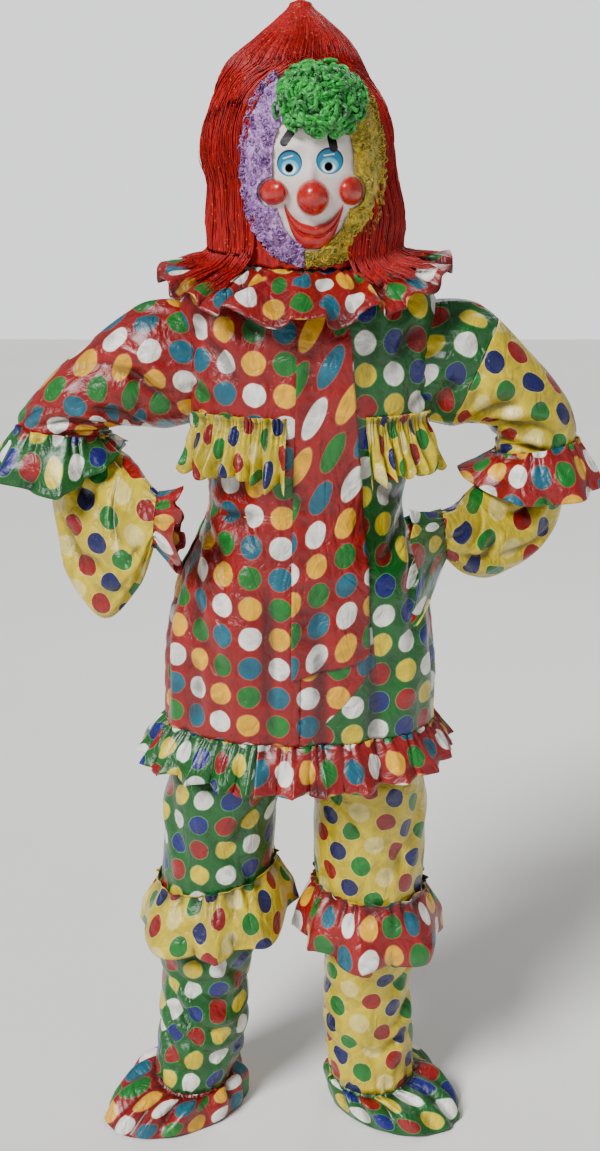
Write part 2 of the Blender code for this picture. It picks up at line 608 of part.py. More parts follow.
def armhole_cutter(name, table):
    """The sleeve's own outer surface, a gap larger, from inside the tunic to outside it."""
    turns = np.linspace(0, 2 * pi, SLEEVE_COLUMNS * 2, endpoint=False)
    along = np.array([0.0, 0.0, 0.35, 0.7, 1.0])[:, None]
    points = sleeve_point(table, SLEEVE_FOLDS, turns, along)
    centre = points.mean(axis=1, keepdims=True)
    side = points - centre
    size = np.linalg.norm(side, axis=-1, keepdims=True)
    wider = centre + side * (size + WALL + GAP * 3) / size
    wider[0] = wider[1] + (wider[1] - wider[2]) * 0.04
    return tube_cutter(name, wider)


def tunic():
    panels = [tunic_panel("tunic_front_left", -90, 0, "satin_red"),
              tunic_panel("tunic_front_right", 0, 90, "satin_green"),
              tunic_panel("tunic_back_right", 90, 180, "satin_green"),
              tunic_panel("tunic_back_left", 180, 270, "satin_red")]
    armholes = [armhole_cutter("armhole_left", SLEEVE_LEFT), armhole_cutter("armhole_right", SLEEVE_RIGHT)]
    for panel, hole in zip(panels, (0, 1, 1, 0)):
        cut(panel, armholes[hole])


def front_flap():
    """A strip on the front, between its two slanting edges."""
    share = np.linspace(0, 1, 6)
    levels = [height for height in TUNIC_HEIGHTS if FLAP_FOOT_RIGHT + 0.02 < height < FLAP_TOP - 0.02]
    heights = np.array([np.full(6, height) for height in [FLAP_FOOT_LEFT] + levels + [FLAP_TOP]])
    heights[0] += (FLAP_FOOT_RIGHT - FLAP_FOOT_LEFT) * share
    _, left_x, right_x = at_key(FLAP, heights)
    turns = tunic_turn(left_x + (right_x - left_x) * share, heights)
    cloth("front_flap", moved_out(tunic_point, turns, heights, WALL + LAID_ON), "satin_red")


def chest_ruffle(name, ruffle):
    columns = CHEST_WAVES * POINTS_PER_WAVE + 1
    share = np.linspace(0, 1, columns)
    height = np.full(columns, CHEST_SEAM_HEIGHT)
    turn = tunic_turn(ruffle.start_x + (ruffle.end_x - ruffle.start_x) * share, height)
    base = moved_out(tunic_point, turn, height, WALL + ruffle.clearance)
    side = np.stack([np.sin(turn), -np.cos(turn), np.zeros(columns)], axis=-1)
    flare = CHEST_FLARE + (ruffle.end_flare - CHEST_FLARE) * share
    drop = ruffle.start_drop + (ruffle.end_drop - ruffle.start_drop) * share
    fall = np.stack([np.zeros(columns), np.zeros(columns), -drop], axis=-1)
    points = flounce(base, side * flare[:, None], fall, wave(CHEST_WAVES, columns), CHEST_WAVE, rows=2)
    cloth(name, points, "satin_yellow", flip=ruffle.end_x > 0)


def hem_ruffle(name, start_deg, end_deg, waves, material):
    """It hangs from just under the tunic's bottom edge."""
    columns = waves * POINTS_PER_WAVE + 1
    trim = SEAM_GAP / 0.14 / 2
    turn = np.linspace(radians(start_deg) + trim, radians(end_deg) - trim, columns)
    height = np.full(columns, TUNIC_BOTTOM)
    base = tunic_point(turn, height) - (0, 0, GAP)
    wrapped = np.degrees(np.angle(np.exp(1j * turn)))
    _, drop, flare = at_key(HEM, wrapped)
    side = np.stack([np.sin(turn), -np.cos(turn), np.zeros(columns)], axis=-1)
    fall = np.stack([np.zeros(columns), np.zeros(columns), -drop], axis=-1)
    points = flounce(base, side * flare[:, None], fall, wave(waves, columns), HEM_WAVE, rows=2)
    cloth(name, points, material, flip=True)


def collar_surface(turn, share, waves):
    """The collar at a share of its reach; waves lift it from -1 to 1 times its wave height."""
    base = moved_out(tunic_point, turn, neck_height(turn) - 0.004, WALL + LAID_ON)
    wrapped = np.degrees(np.angle(np.exp(1j * turn)))
    _, reach, drop = at_key(COLLAR, wrapped)
    side = np.stack([np.sin(turn), -np.cos(turn), np.zeros_like(turn)], axis=-1)
    lift = 0.006 * np.sin(pi * np.clip(share, 0, 1) * 0.5) + waves * COLLAR_WAVE * np.clip(share, 0, 1)
    rise = lift - drop * share ** 1.3
    return base + side * (reach * share)[..., None] + np.stack([0 * rise, 0 * rise, rise], axis=-1)


def collar_ruffle():
    columns = COLLAR_WAVES * POINTS_PER_WAVE
    turn = np.linspace(-pi, pi, columns, endpoint=False)
    waves = np.cos(turn * COLLAR_WAVES)
    points = np.array([collar_surface(turn, np.full(columns, share), waves) for share in (0, 0.45, 1)])
    cloth("collar_ruffle", points, "satin_red", closed=True, flip=True)


# Sleeves

def sleeve(name, table, folds, along, material, flip):
    turns = np.linspace(0, 2 * pi, SLEEVE_COLUMNS, endpoint=False)
    return cloth(name, sleeve_point(table, folds, turns, along), material, closed=True, flip=flip)


def right_sleeve():
    """Green as far as a slanting seam, then yellow."""
    turns = np.linspace(0, 2 * pi, SLEEVE_COLUMNS, endpoint=False)
    slant = (1 + np.cos(turns)) / 2
    seam = BAND_SEAM_INNER + (BAND_SEAM_OUTER - BAND_SEAM_INNER) * slant
    upper = np.linspace(0, 1, 4)[:, None] * (seam - BAND_GAP)
    start = seam + BAND_GAP
    lower = start + np.linspace(0, 1, 6)[:, None] * (len(SLEEVE_RIGHT) - 1 - start)
    sleeve("sleeve_right", SLEEVE_RIGHT, SLEEVE_FOLDS, upper, "satin_green", False)
    sleeve("sleeve_right_band", SLEEVE_RIGHT, SLEEVE_FOLDS, lower, "satin_yellow", False)


def elbow_ruffle(name, table, shape, side, material):
    """A flounce over the seam at the elbow, longer in front than outside."""
    columns = ELBOW_WAVES * POINTS_PER_WAVE
    turn = np.linspace(0, 2 * pi, columns, endpoint=False)
    base = moved_out(partial(sleeve_point, table, SLEEVE_FOLDS), turn, np.full(columns, ELBOW_SEAM),
                     -side * (WALL + LAID_ON))
    centre = base.mean(axis=0)
    out = base - centre
    out[:, 2] = 0
    out /= np.linalg.norm(out, axis=-1, keepdims=True)
    _, drop, flare, wave_share = at_key(shape, np.degrees(turn))
    fall = np.stack([-side * drop * ELBOW_LEAN, np.zeros(columns), -drop], axis=-1)
    waves = np.cos(turn * ELBOW_WAVES + 0.5) * wave_share
    cloth(name, flounce(base, out * flare[:, None], fall, waves, ELBOW_WAVE, rows=2), material,
          closed=True, flip=side > 0)


def wrist_frill(frill, table):
    """A frill from the open end of the lower sleeve."""
    columns = WRIST_WAVES * POINTS_PER_WAVE
    turn = np.linspace(0, 2 * pi, columns, endpoint=False)
    base = sleeve_point(table, LOWER_SLEEVE_FOLDS, turn, np.full(columns, len(table) - 1.0))
    base[:, 0] += frill.side * (WALL + GAP)
    out = base - base.mean(axis=0)
    out[:, 0] = 0
    out /= np.linalg.norm(out, axis=-1, keepdims=True)
    lower = (1 + np.cos(turn)) / 2
    away = np.clip(-out[:, 1], 0, 1)
    flare = WRIST_FLARE + WRIST_FRONT_FLARE * away + frill.droop * lower ** 2 * (0.35 + 0.65 * away)
    fall = np.stack([np.full(columns, frill.side * frill.length), np.full(columns, -frill.forward),
                     -WRIST_SAG * frill.droop * lower], axis=-1)
    points = flounce(base, out * flare[:, None], fall, np.cos(turn * WRIST_WAVES), WRIST_WAVE, rows=2)
    cloth(frill.name, points, frill.material, closed=True, flip=frill.side > 0)


def sleeves():
    left_along = np.array([0, 0.8, 1.6, 2.5, 3.5, 4.6, 6.0])[:, None]
    sleeve("sleeve_left", SLEEVE_LEFT, SLEEVE_FOLDS, left_along, "satin_red", True)
    right_sleeve()
    along = np.linspace(0, len(LOWER_SLEEVE_LEFT) - 1, 8)[:, None]
    sleeve("lower_sleeve_left", LOWER_SLEEVE_LEFT, LOWER_SLEEVE_FOLDS, along, "satin_yellow", True)
    sleeve("lower_sleeve_right", LOWER_SLEEVE_RIGHT, LOWER_SLEEVE_FOLDS, along, "satin_yellow", False)
    elbow_ruffle("elbow_ruffle_left", SLEEVE_LEFT, ELBOW_LEFT, 1, "satin_green")
    elbow_ruffle("elbow_ruffle_right", SLEEVE_RIGHT, ELBOW_RIGHT, -1, "satin_red")
    for frill, table in zip(WRIST_FRILLS, (LOWER_SLEEVE_LEFT, LOWER_SLEEVE_RIGHT)):
        wrist_frill(frill, table)


# Trousers

def trouser_half(name, table, side, material):
    """A leg tube up to the crotch; above it, its outer columns run on over half of the seat to the waist."""
    columns, outer = LEG_COLUMNS, LEG_OUTER_COLUMNS
    span = pi - 2 * LEG_OUTER_START
    inner = np.linspace(span, 2 * pi, columns - outer + 2)[1:-1]
    turns = LEG_OUTER_START + np.concatenate([np.linspace(0, span, outer), inner])
    rows = []
    for row in table:
        drop = LEG_HEM_DROP * (1 + np.cos(turns)) / 2 if row is table[0] else 0
        rows.append(leg_point(table, turns, np.full(columns, row.height)) - np.stack(
            [0 * turns, 0 * turns, 0 * turns + drop], axis=-1))
    half_turn = np.linspace(0, pi, outer)
    for row in HIPS:
        clear = WALL + GAP / 2 if row is HIPS[0] else GAP / 2
        depth = np.where(np.cos(half_turn) > 0, row.front, row.back)
        x = clear + (row.half_width - clear) * np.sin(half_turn)
        seat = np.stack([side * x, -depth * np.cos(half_turn), np.full(outer, row.height)], axis=-1)
        flat = np.linspace(row.back, -row.front, columns - outer + 2)[1:-1]
        inseam = np.stack([np.full(len(flat), side * clear), flat, np.full(len(flat), row.height)], axis=-1)
        rows.append(np.concatenate([seat, inseam]))
    for height in (WAIST_BOTTOM, WAIST_TOP):
        front = tunic_turn(side * GAP / 2, height)
        around = front + half_turn / pi * (side * pi - 2 * front)
        seat = moved_out(tunic_point, around, np.full(outer, height), -(WALL + WAIST_CLEAR))
        seat[0, 0] = seat[-1, 0] = side * GAP / 2
        rows.append(np.concatenate([seat, np.repeat(seat[-1:], columns - outer, axis=0)]))
    crotch_row = len(table)
    cloth(name, np.array(rows), material, closed=True, flip=side < 0,
          keep=lambda row, column: row < crotch_row or column < outer - 1)


def knee_ruffle(ruffle, table):
    columns = KNEE_WAVES * POINTS_PER_WAVE
    turn = np.linspace(0, 2 * pi, columns, endpoint=False)
    heights = ruffle.height - ruffle.tilt * np.sin(turn)
    base = moved_out(partial(leg_point, table), turn, heights, ruffle.side * (WALL + LAID_ON))
    out = np.stack([ruffle.side * np.sin(turn), -np.cos(turn), 0 * turn], axis=-1)
    flare = KNEE_FLARE + KNEE_FRONT_FLARE * (1 + np.cos(turn)) / 4
    fall = np.stack([0 * turn, 0 * turn, -(ruffle.drop + KNEE_FRONT_DROP * np.cos(turn))], axis=-1)
    points = flounce(base, out * flare[:, None], fall, np.cos(turn * KNEE_WAVES + 0.4), KNEE_WAVE, rows=2)
    cloth(ruffle.name, points, ruffle.material, closed=True, flip=ruffle.side > 0)


def ankle_ruffle(name, table, side, foot, material):
    """From the trouser hem out over the foot, down to an oval on the floor that points along the toe."""
    columns = ANKLE_WAVES * POINTS_PER_WAVE
    turn = np.linspace(0, 2 * pi, columns, endpoint=False)
    top = leg_point(table, turn, np.full(columns, table[0].height))
    top[:, 2] = table[0].height - LEG_HEM_DROP * (1 + np.cos(turn)) / 2 - GAP * 3
    heading = top - (0, 0, HEADING)
    facing = np.stack([side * np.sin(turn), -np.cos(turn)], axis=-1)
    toe = np.array([foot.toe_x, foot.toe_y])
    across = np.array([-foot.toe_y, foot.toe_x])
    waves = np.cos(turn * ANKLE_WAVES)
    reach = (1 + waves * ANKLE_WAVE / foot.half_length)[:, None]
    floor = ((foot.centre_x, foot.centre_y) + reach * foot.half_length * (facing @ toe)[:, None] * toe
             + reach * foot.half_width * (facing @ across)[:, None] * across)
    bottom = 0.003 + 0.003 * waves
    grid = [top]
    for share in FOOT_ROWS:
        place = heading[:, :2] + (floor - heading[:, :2]) * share ** 0.9
        level = bottom + (heading[:, 2] - bottom) * (1 - share ** 1.8)
        grid.append(np.concatenate([place, level[:, None]], axis=-1))
    cloth(name, np.array(grid), material, closed=True, flip=side > 0)


def trousers():
    trouser_half("trousers_left", LEG_LEFT, -1, "satin_green")
    trouser_half("trousers_right", LEG_RIGHT, 1, "satin_yellow")
    for ruffle, table in zip(KNEE_RUFFLES, (LEG_LEFT, LEG_RIGHT)):
        knee_ruffle(ruffle, table)
    ankle_ruffle("ankle_ruffle_left", LEG_LEFT, -1, FOOT_LEFT, "satin_red")
    ankle_ruffle("ankle_ruffle_right", LEG_RIGHT, 1, FOOT_RIGHT, "satin_green")


# Head

def hood():
    turns = np.linspace(-pi, pi, HOOD_COLUMNS, endpoint=False)
    rows = [hood_point(turns, np.full(HOOD_COLUMNS, height)) for height in HOOD_HEIGHTS]
    edge = hood_point(turns, np.full(HOOD_COLUMNS, HOOD[0].height))
    edge[:, 2] = collar_height_under(turns, edge) + WALL + HAIR_WALL + GAP * 5
    points = np.array([edge] + rows)
    shell = cloth("hood", points, "hair_red", wall=HAIR_WALL, closed=True, pole=(0.001, 0, HOOD_TIP))
    angle = np.linspace(0, 2 * pi, 48, endpoint=False)
    x, height = mask_outline(angle)
    wider = 1 + (MASK_WALL + GAP * 2) / MASK_HALF_WIDTH
    x = MASK_CENTRE_X + (x - MASK_CENTRE_X) * wider
    height = MASK_CENTRE_HEIGHT + (height - MASK_CENTRE_HEIGHT) * wider
    ends = [np.stack([x, np.full_like(x, depth), height], axis=-1) for depth in (-0.30, 0.0)]
    cut(shell, tube_cutter("face_opening", np.array(ends)))


def collar_height_under(turns, edge):
    """Height of the collar's crests where the hood's edge stands on them."""
    shares = np.linspace(0, 1, 60)
    heights = []
    for turn, point in zip(turns, edge):
        crest = collar_surface(np.full(60, turn), shares, np.ones(60))
        reach = np.hypot(crest[:, 0], crest[:, 1])
        heights.append(np.interp(np.hypot(point[0], point[1]), reach, crest[:, 2]))
    return np.array(heights)


def over_collar(turn, share):
    """A point just over the collar's crests."""
    return collar_surface(turn, share, np.ones_like(turn)) + (0, 0, WALL + GAP * 2.5)


def hood_locks(locks):
    """A strip that lies on the collar's crests and splits into pointed locks."""
    pitch = radians(locks.end_deg - locks.start_deg) / locks.count
    centres = radians(locks.start_deg) + pitch * (np.arange(locks.count) + 0.5)
    edges = (centres[:, None] + pitch * LOCK_ROOT * np.array([-1, 1])).ravel()
    count = len(edges)
    strip = [over_collar(edges, np.full(count, share)) for share in (locks.inner_reach, locks.outer_reach)]
    vertices = np.concatenate(strip).tolist()
    faces = [(column, column + 1, count + column + 1, count + column) for column in range(count - 1)]
    for number, centre in enumerate(centres):
        left, right = count + number * 2, count + number * 2 + 1
        tip_share = locks.tip_reach - LOCK_SHORTER * (number % 3) / 2
        for share, width in LOCK_WIDTHS:
            reach = locks.outer_reach + (tip_share - locks.outer_reach) * share
            turn = centre + pitch * LOCK_SWING * (-1) ** number * share
            pair = over_collar(turn + pitch * width * np.array([-1, 1]), np.array([reach, reach]))
            vertices += pair.tolist()
            faces.append((left, right, len(vertices) - 1, len(vertices) - 2))
            left, right = len(vertices) - 2, len(vertices) - 1
    mesh = bpy.data.meshes.new(locks.name)
    placed = [(x, y, z - SHOULDER_HEIGHT) for x, y, z in vertices]
    mesh.from_pydata(placed, [], [face[::-1] for face in faces])
    mesh.shade_smooth()
    thing = new_object(locks.name, mesh, "hair_red", costume)
    thickness = thing.modifiers.new("wall", "SOLIDIFY")
    thickness.thickness = HAIR_WALL - GAP
    thickness.offset = 1.0


def ahead_of_mask(x, height, distance):
    """The plate's points moved straight forward until they clear it by a distance."""
    plate = mask_point(x, height)
    side = moved_out(mask_point, x, height, np.ones_like(x)) - plate
    return plate + along_front(distance / np.maximum(-side[..., 1], 0.4))


def mask():
    across, up = disc(MASK_GRID)
    angle, out = np.arctan2(up, across), np.hypot(across, up)
    rim_x, rim_height = mask_outline(angle)
    x = MASK_CENTRE_X + (rim_x - MASK_CENTRE_X) * out
    height = MASK_CENTRE_HEIGHT + (rim_height - MASK_CENTRE_HEIGHT) * out
    face = cloth("mask", mask_point(x, height), "mask_white", wall=MASK_WALL)
    ring = np.linspace(0, 2 * pi, 10, endpoint=False)
    for number, (eye_x, eye_height) in enumerate(EYES):
        x = eye_x + EYE_HOLE_RADIUS * np.cos(ring)
        height = eye_height + EYE_HOLE_RADIUS * np.sin(ring)
        ends = [np.stack([x, np.full_like(x, depth), height], axis=-1) for depth in (-0.2, -0.05)]
        cut(face, tube_cutter(f"eye_hole_{number + 1}", np.array(ends)))


def dome(shape):
    """A round knob on the mask."""
    across, up = disc(shape.cells)
    out = np.hypot(across, up)
    x = shape.centre_x + shape.half_width * across
    height = shape.centre_height + shape.half_height * up
    rise = 0.0015 + shape.rise * np.sqrt(np.maximum(1 - out ** 2, 0))
    inner = ahead_of_mask(x, height, MASK_WALL + KNOB_LIFT)
    slab(shape.name, inner, inner + along_front(rise), shape.material)


def along_front(rise):
    return np.stack([0 * rise, -rise, 0 * rise], axis=-1)


def lips_outline(share, across):
    """A smiling crescent, thick in its middle: share runs along it, across from edge to edge."""
    middle = (LIPS["left_x"] + LIPS["right_x"]) / 2
    curve = LIPS["middle_height"] + (LIPS["corner_height"] - LIPS["middle_height"]) * share ** 2
    thick = LIPS["half_width"] * (1 - 0.8 * share ** 2)
    return middle + (LIPS["right_x"] - LIPS["left_x"]) / 2 * share, curve + thick * across


def lips():
    share, across = np.meshgrid(np.linspace(-1, 1, LIPS["cells"] + 1), np.linspace(-1, 1, 4))
    rise = 0.001 + LIPS["rise"] * (1 - across ** 2) * (1 - 0.5 * share ** 2)
    inner = ahead_of_mask(*lips_outline(share, across), MASK_WALL + LAID_ON)
    slab("mask_lips", inner, inner + along_front(rise), "mask_red")


def prism(name, x, height):
    """A cutter that stands on an outline of the face and runs from front to back."""
    ends = [np.stack([x, np.full_like(x, depth), height], axis=-1) for depth in (-0.20, -0.02)]
    return tube_cutter(name, np.array(ends))


def oval_room(name, centre_x, centre_height, half_width, half_height):
    angle = np.linspace(0, 2 * pi, 20, endpoint=False)
    return prism(name, centre_x + (half_width + ROOM_MARGIN) * np.cos(angle),
                 centre_height + (half_height + ROOM_MARGIN) * np.sin(angle))


def room_in_curls():
    """Cutters for the cheeks, the lips and the tuft, a margin larger than each."""
    room = [oval_room(f"{cheek.name}_room", cheek.centre_x, cheek.centre_height, cheek.half_width,
                      cheek.half_height) for cheek in DOMES[1:]]
    room.append(oval_room("tuft_room", TUFT["centre_x"], TUFT["centre_height"], TUFT["half_width"],
                          TUFT["half_height"]))
    share = np.linspace(-1.03, 1.03, 13)
    upper_x, upper = lips_outline(share, 1.0)
    lower_x, lower = lips_outline(share[::-1], -1.0)
    room.append(prism("lips_room", np.concatenate([upper_x, lower_x]),
                      np.concatenate([upper + ROOM_MARGIN, lower - ROOM_MARGIN])))
    return room


def curl_band(shape, room):
    """A lumpy band of curls along the mask's rim, as wide as its rows."""
    turn, share = np.meshgrid(np.radians(np.linspace(shape.start_deg, shape.end_deg, shape.columns + 1)),
                              np.linspace(0, 1, shape.rows + 1))
    low = np.clip(-np.sin(turn), 0, 1) ** 3
    inner_edge = shape.inner + (shape.chin_inner - shape.inner) * low
    out = inner_edge + (0.985 - inner_edge) * share
    rim_x, rim_height = mask_outline(turn)
    x = MASK_CENTRE_X + (rim_x - MASK_CENTRE_X) * out
    height = MASK_CENTRE_HEIGHT + (rim_height - MASK_CENTRE_HEIGHT) * out
    lumps = 0.75 + 0.25 * np.cos(turn * shape.lumps * 2.4) * np.cos(share * pi * 2)
    rise = 0.002 + shape.rise * np.sin(pi * np.clip(share, 0.12, 0.88)) * lumps
    under = MASK_WALL + CURLS_LIFT
    band = slab(shape.name, moved_out(mask_point, x, height, under),
                moved_out(mask_point, x, height, under + rise), shape.material,
                flip=shape.end_deg > shape.start_deg)
    for cutter in room:
        cut(band, cutter)


def green_tuft():
    """A rounded tuft over the forehead."""
    across, up = disc(TUFT["cells"])
    out = np.hypot(across, up)
    x = TUFT["centre_x"] + TUFT["half_width"] * across
    height = TUFT["centre_height"] + TUFT["half_height"] * up
    lumps = 0.85 + 0.15 * np.cos(across * TUFT["lumps"] * 1.6) * np.cos(up * TUFT["lumps"] * 1.3)
    rise = 0.006 + TUFT["rise"] * np.sqrt(np.maximum(1 - out ** 2, 0)) * lumps
    inner = ahead_of_mask(x, height, MASK_WALL + CURLS_LIFT)
    slab("curls_green", inner, inner + along_front(rise), "curls_green")


def head():
    hood()
    for locks in LOCKS:
        hood_locks(locks)
    mask()
    for shape in DOMES:
        dome(shape)
    lips()
    room = room_in_curls()
    for shape in CURLS:
        curl_band(shape, room)
    green_tuft()


def clear_scene():
    for thing in list(bpy.data.objects):
        bpy.data.objects.remove(thing, do_unlink=True)


clear_scene()
costume = bpy.data.collections.new("clown_costume")
cutters = bpy.data.collections.new("cutters")
bpy.context.scene.collection.children.link(costume)
bpy.context.scene.collection.children.link(cutters)

tunic()
front_flap()
chest_ruffle("chest_ruffle_left", CHEST_LEFT)
chest_ruffle("chest_ruffle_right", CHEST_RIGHT)
collar_ruffle()
hem_ruffle("hem_ruffle_left", -180, HEM_SEAM_TURN, 12, "satin_green")
hem_ruffle("hem_ruffle_right", HEM_SEAM_TURN, 180, 14, "satin_red")
sleeves()
trousers()
head()
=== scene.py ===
# Clown costume: dotted satin, gathered ruffles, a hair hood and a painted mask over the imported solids.
# X runs to the viewer's right, the front faces -Y. Shapes are worked out in heights above the floor.
import bmesh
import bpy
import numpy as np
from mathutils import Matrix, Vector
from numpy import arange, clip, concatenate, cos, exp, hypot, linspace, maximum, minimum
from numpy import pi, radians, sin, sqrt, stack


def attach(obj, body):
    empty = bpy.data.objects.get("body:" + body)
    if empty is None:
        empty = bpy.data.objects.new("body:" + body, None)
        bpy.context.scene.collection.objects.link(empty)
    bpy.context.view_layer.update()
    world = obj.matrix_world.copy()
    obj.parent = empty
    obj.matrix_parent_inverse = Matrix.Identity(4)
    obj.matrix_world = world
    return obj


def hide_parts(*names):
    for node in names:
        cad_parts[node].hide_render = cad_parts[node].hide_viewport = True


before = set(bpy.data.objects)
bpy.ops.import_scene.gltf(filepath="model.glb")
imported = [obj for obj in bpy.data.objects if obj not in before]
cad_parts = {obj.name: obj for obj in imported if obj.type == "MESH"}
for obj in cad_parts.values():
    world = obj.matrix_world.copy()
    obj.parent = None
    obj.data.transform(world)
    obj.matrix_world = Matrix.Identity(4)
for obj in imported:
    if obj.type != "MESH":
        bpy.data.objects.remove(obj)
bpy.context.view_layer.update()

shoulderHeight = 1.38       # the origin lies this far above the floor
clothThickness = 0.0009
solidWall = 0.0016

# numbers


def tableAt(table, row):
    # smooth curve through the rows of a table, read at a fractional row
    values = np.array(table, dtype=float)
    row = clip(np.asarray(row, dtype=float), 0, len(values) - 1)
    low = minimum(row.astype(int), len(values) - 2)
    part = (row - low)[..., None]
    before, first = values[maximum(low - 1, 0)], values[low]
    second, after = values[low + 1], values[minimum(low + 2, len(values) - 1)]
    slopeA, slopeB = (second - before) / 2, (after - first) / 2
    curve = ((2 * part ** 3 - 3 * part ** 2 + 1) * first + (part ** 3 - 2 * part ** 2 + part) * slopeA
             + (3 * part ** 2 - 2 * part ** 3) * second + (part ** 3 - part ** 2) * slopeB)
    return np.moveaxis(curve, -1, 0)


def tableAtKey(table, key):
    # the same, where the first column rises and is the key
    keys = [row[0] for row in table]
    return tableAt(table, np.interp(key, keys, range(len(keys))))


def bump(value, centre, spread):
    # a smooth hump: e to the power of minus the square of the distance over the spread
    return exp(-((value - centre) / spread) ** 2)


def turnBump(turn, centreDeg, spreadDeg):
    # the same hump round a ring, with the distance taken the short way and the spread in degrees
    apart = np.angle(exp(1j * (turn - radians(centreDeg))))
    return exp(-(apart / radians(spreadDeg)) ** 2)


def creaseField(across, up, creases, strength=2.1):
    # each crease is a soft trough along a bowed line between two points, deepest in its middle,
    # with a smaller swell along one side of it; a depth above 0 makes it a ridge
    push = np.zeros(np.broadcast(across, up).shape)
    for startAcross, startUp, endAcross, endUp, bow, width, depth in creases:
        stepAcross, stepUp = endAcross - startAcross, endUp - startUp
        length = hypot(stepAcross, stepUp)
        along = ((across - startAcross) * stepAcross + (up - startUp) * stepUp) / length ** 2
        fade = clip(4 * along * (1 - along), 0, 1) ** 0.7
        off = ((up - startUp) * stepAcross - (across - startAcross) * stepUp) / length
        off = off - bow * clip(4 * along * (1 - along), 0, 1)
        soft = width * (0.75 + 0.5 * clip(along, 0, 1))
        push = push + strength * depth * fade * (exp(-(off / soft) ** 2) - 0.5 * bump(off, 1.8 * soft, soft))
    return push


def unevenness(across, up, size, seed):
    # a sum of slanted sine waves with seeded directions, about -1 to 1
    random = np.random.default_rng(seed)
    total = 0.0
    turns, phases, stretches = (random.uniform(0, pi, 6), random.uniform(0, 6.3, 6),
                                random.uniform(0.6, 1.5, 6))
    for turn, phase, stretch in zip(turns, phases, stretches):
        total = total + sin((across * cos(turn) + up * sin(turn)) * 2 * pi / size * stretch + phase)
    return total / 2.4


def wavePhase(count, share, seed):
    # the phase of that many waves along a closed or open edge, whose places wander a little
    random = np.random.default_rng(seed)
    wander = sum(random.uniform(0.25, 0.7) * sin(2 * pi * (step + 1) * share + random.uniform(0, 6.3))
                 for step in range(4))
    return 2 * pi * count * share + wander


def waveSize(share, seed, uneven=0.3):
    # how tall the waves are along the edge
    random = np.random.default_rng(seed + 50)
    return 1 + uneven * sum(sin(2 * pi * step * share + random.uniform(0, 6.3)) for step in (2, 5, 9)) / 3


def runLength(points, axis):
    # length of the way along one axis of a grid of points, from its start
    step = np.linalg.norm(np.diff(points, axis=axis), axis=-1)
    return concatenate([np.zeros_like(np.take(step, [0], axis=axis)), np.cumsum(step, axis=axis)], axis=axis)


def unit(vectors):
    # each vector over its own length
    return vectors / maximum(np.linalg.norm(vectors, axis=-1, keepdims=True), 1e-12)


def sideways(points, closed=False):
    # unit vectors across a grid, from the way its rows and its columns run
    if closed:
        alongRows = (np.roll(points, -1, axis=1) - np.roll(points, 1, axis=1)) / 2
    else:
        alongRows = np.gradient(points, axis=1)
    return unit(np.cross(alongRows, np.gradient(points, axis=0)))


def outFrom(turn):
    # the level direction at a turn: 0 points to the front, 90 degrees to the viewer's right
    return stack([sin(turn), -cos(turn), 0 * turn], axis=-1)


def downBy(distance):
    # a step straight down
    return stack([0 * distance, 0 * distance, -distance], axis=-1)


def wrapped(turn):
    # a turn in degrees from -180 to 180
    return np.degrees(np.angle(exp(1j * turn)))


def ringTurns(start, columns):
    # even turns round a closed ring, counted from 0 to a whole turn, the first one at the start
    return np.mod(linspace(start, start + 2 * pi, columns, endpoint=False), 2 * pi)


def arrays(*values):
    # the values as arrays of one shape
    return np.broadcast_arrays(*(np.asarray(value, float) for value in values))


# meshes

root = "root"


def writeMesh(name, vertices, loops, starts):
    # heights are taken from the origin; a face has the loops from its start up to the next start
    placed = (vertices - (0, 0, shoulderHeight)).astype(np.float32)
    mesh = bpy.data.meshes.new(name)
    mesh.vertices.add(len(placed))
    mesh.vertices.foreach_set("co", placed.ravel())
    mesh.loops.add(len(loops))
    mesh.loops.foreach_set("vertex_index", loops.astype(np.int32))
    mesh.polygons.add(len(starts))
    mesh.polygons.foreach_set("loop_start", starts.astype(np.int32))
    mesh.polygons.foreach_set("loop_total", np.diff(np.append(starts, len(loops))).astype(np.int32))
    mesh.update(calc_edges=True)
    mesh.shade_smooth()
    return mesh


def gridMesh(name, points, uv=None, closed=False, flip=False, pole=None):
    # quads between the rows and columns of a grid, and a fan from its last row to a pole
    rows, columns = points.shape[:2]
    row, column = np.meshgrid(arange(rows - 1), arange(columns if closed else columns - 1), indexing="ij")
    after = (column + 1) % columns
    corners = [(row, column, column), (row, after, column + 1), (row + 1, after, column + 1),
               (row + 1, column, column)]
    if flip:
        corners = corners[::-1]
    loops = stack([r * columns + c for r, c, _ in corners], axis=-1).ravel()
    starts, quadLoops = arange(0, len(loops), 4), len(loops)
    vertices = points.reshape(-1, 3)
    if pole is not None:
        ring = arange(columns)
        fan = stack([ring, (ring + 1) % columns, np.full(columns, columns)], axis=-1) + (rows - 1) * columns
        starts = concatenate([starts, quadLoops + ring * 3])
        loops = concatenate([loops, fan.ravel()])
        vertices = np.vstack([vertices, pole])
    mesh = writeMesh(name, vertices, loops, starts)
    if uv is not None:
        flat = np.zeros((len(loops), 2), np.float32)
        flat[:quadLoops] = stack([uv[r, c] for r, _, c in corners], axis=2).reshape(-1, 2)
        mesh.uv_layers.new(name="clothUv").data.foreach_set("uv", flat.ravel())
    return mesh


def addObject(name, data):
    thing = bpy.data.objects.new(name, data)
    bpy.context.scene.collection.objects.link(thing)
    return thing


def nodeName(name):
    # the solid's name for a piece: hemRuffleLeft stands for hem_ruffle_left
    return "".join("_" + letter.lower() if letter.isupper() else letter for letter in name)


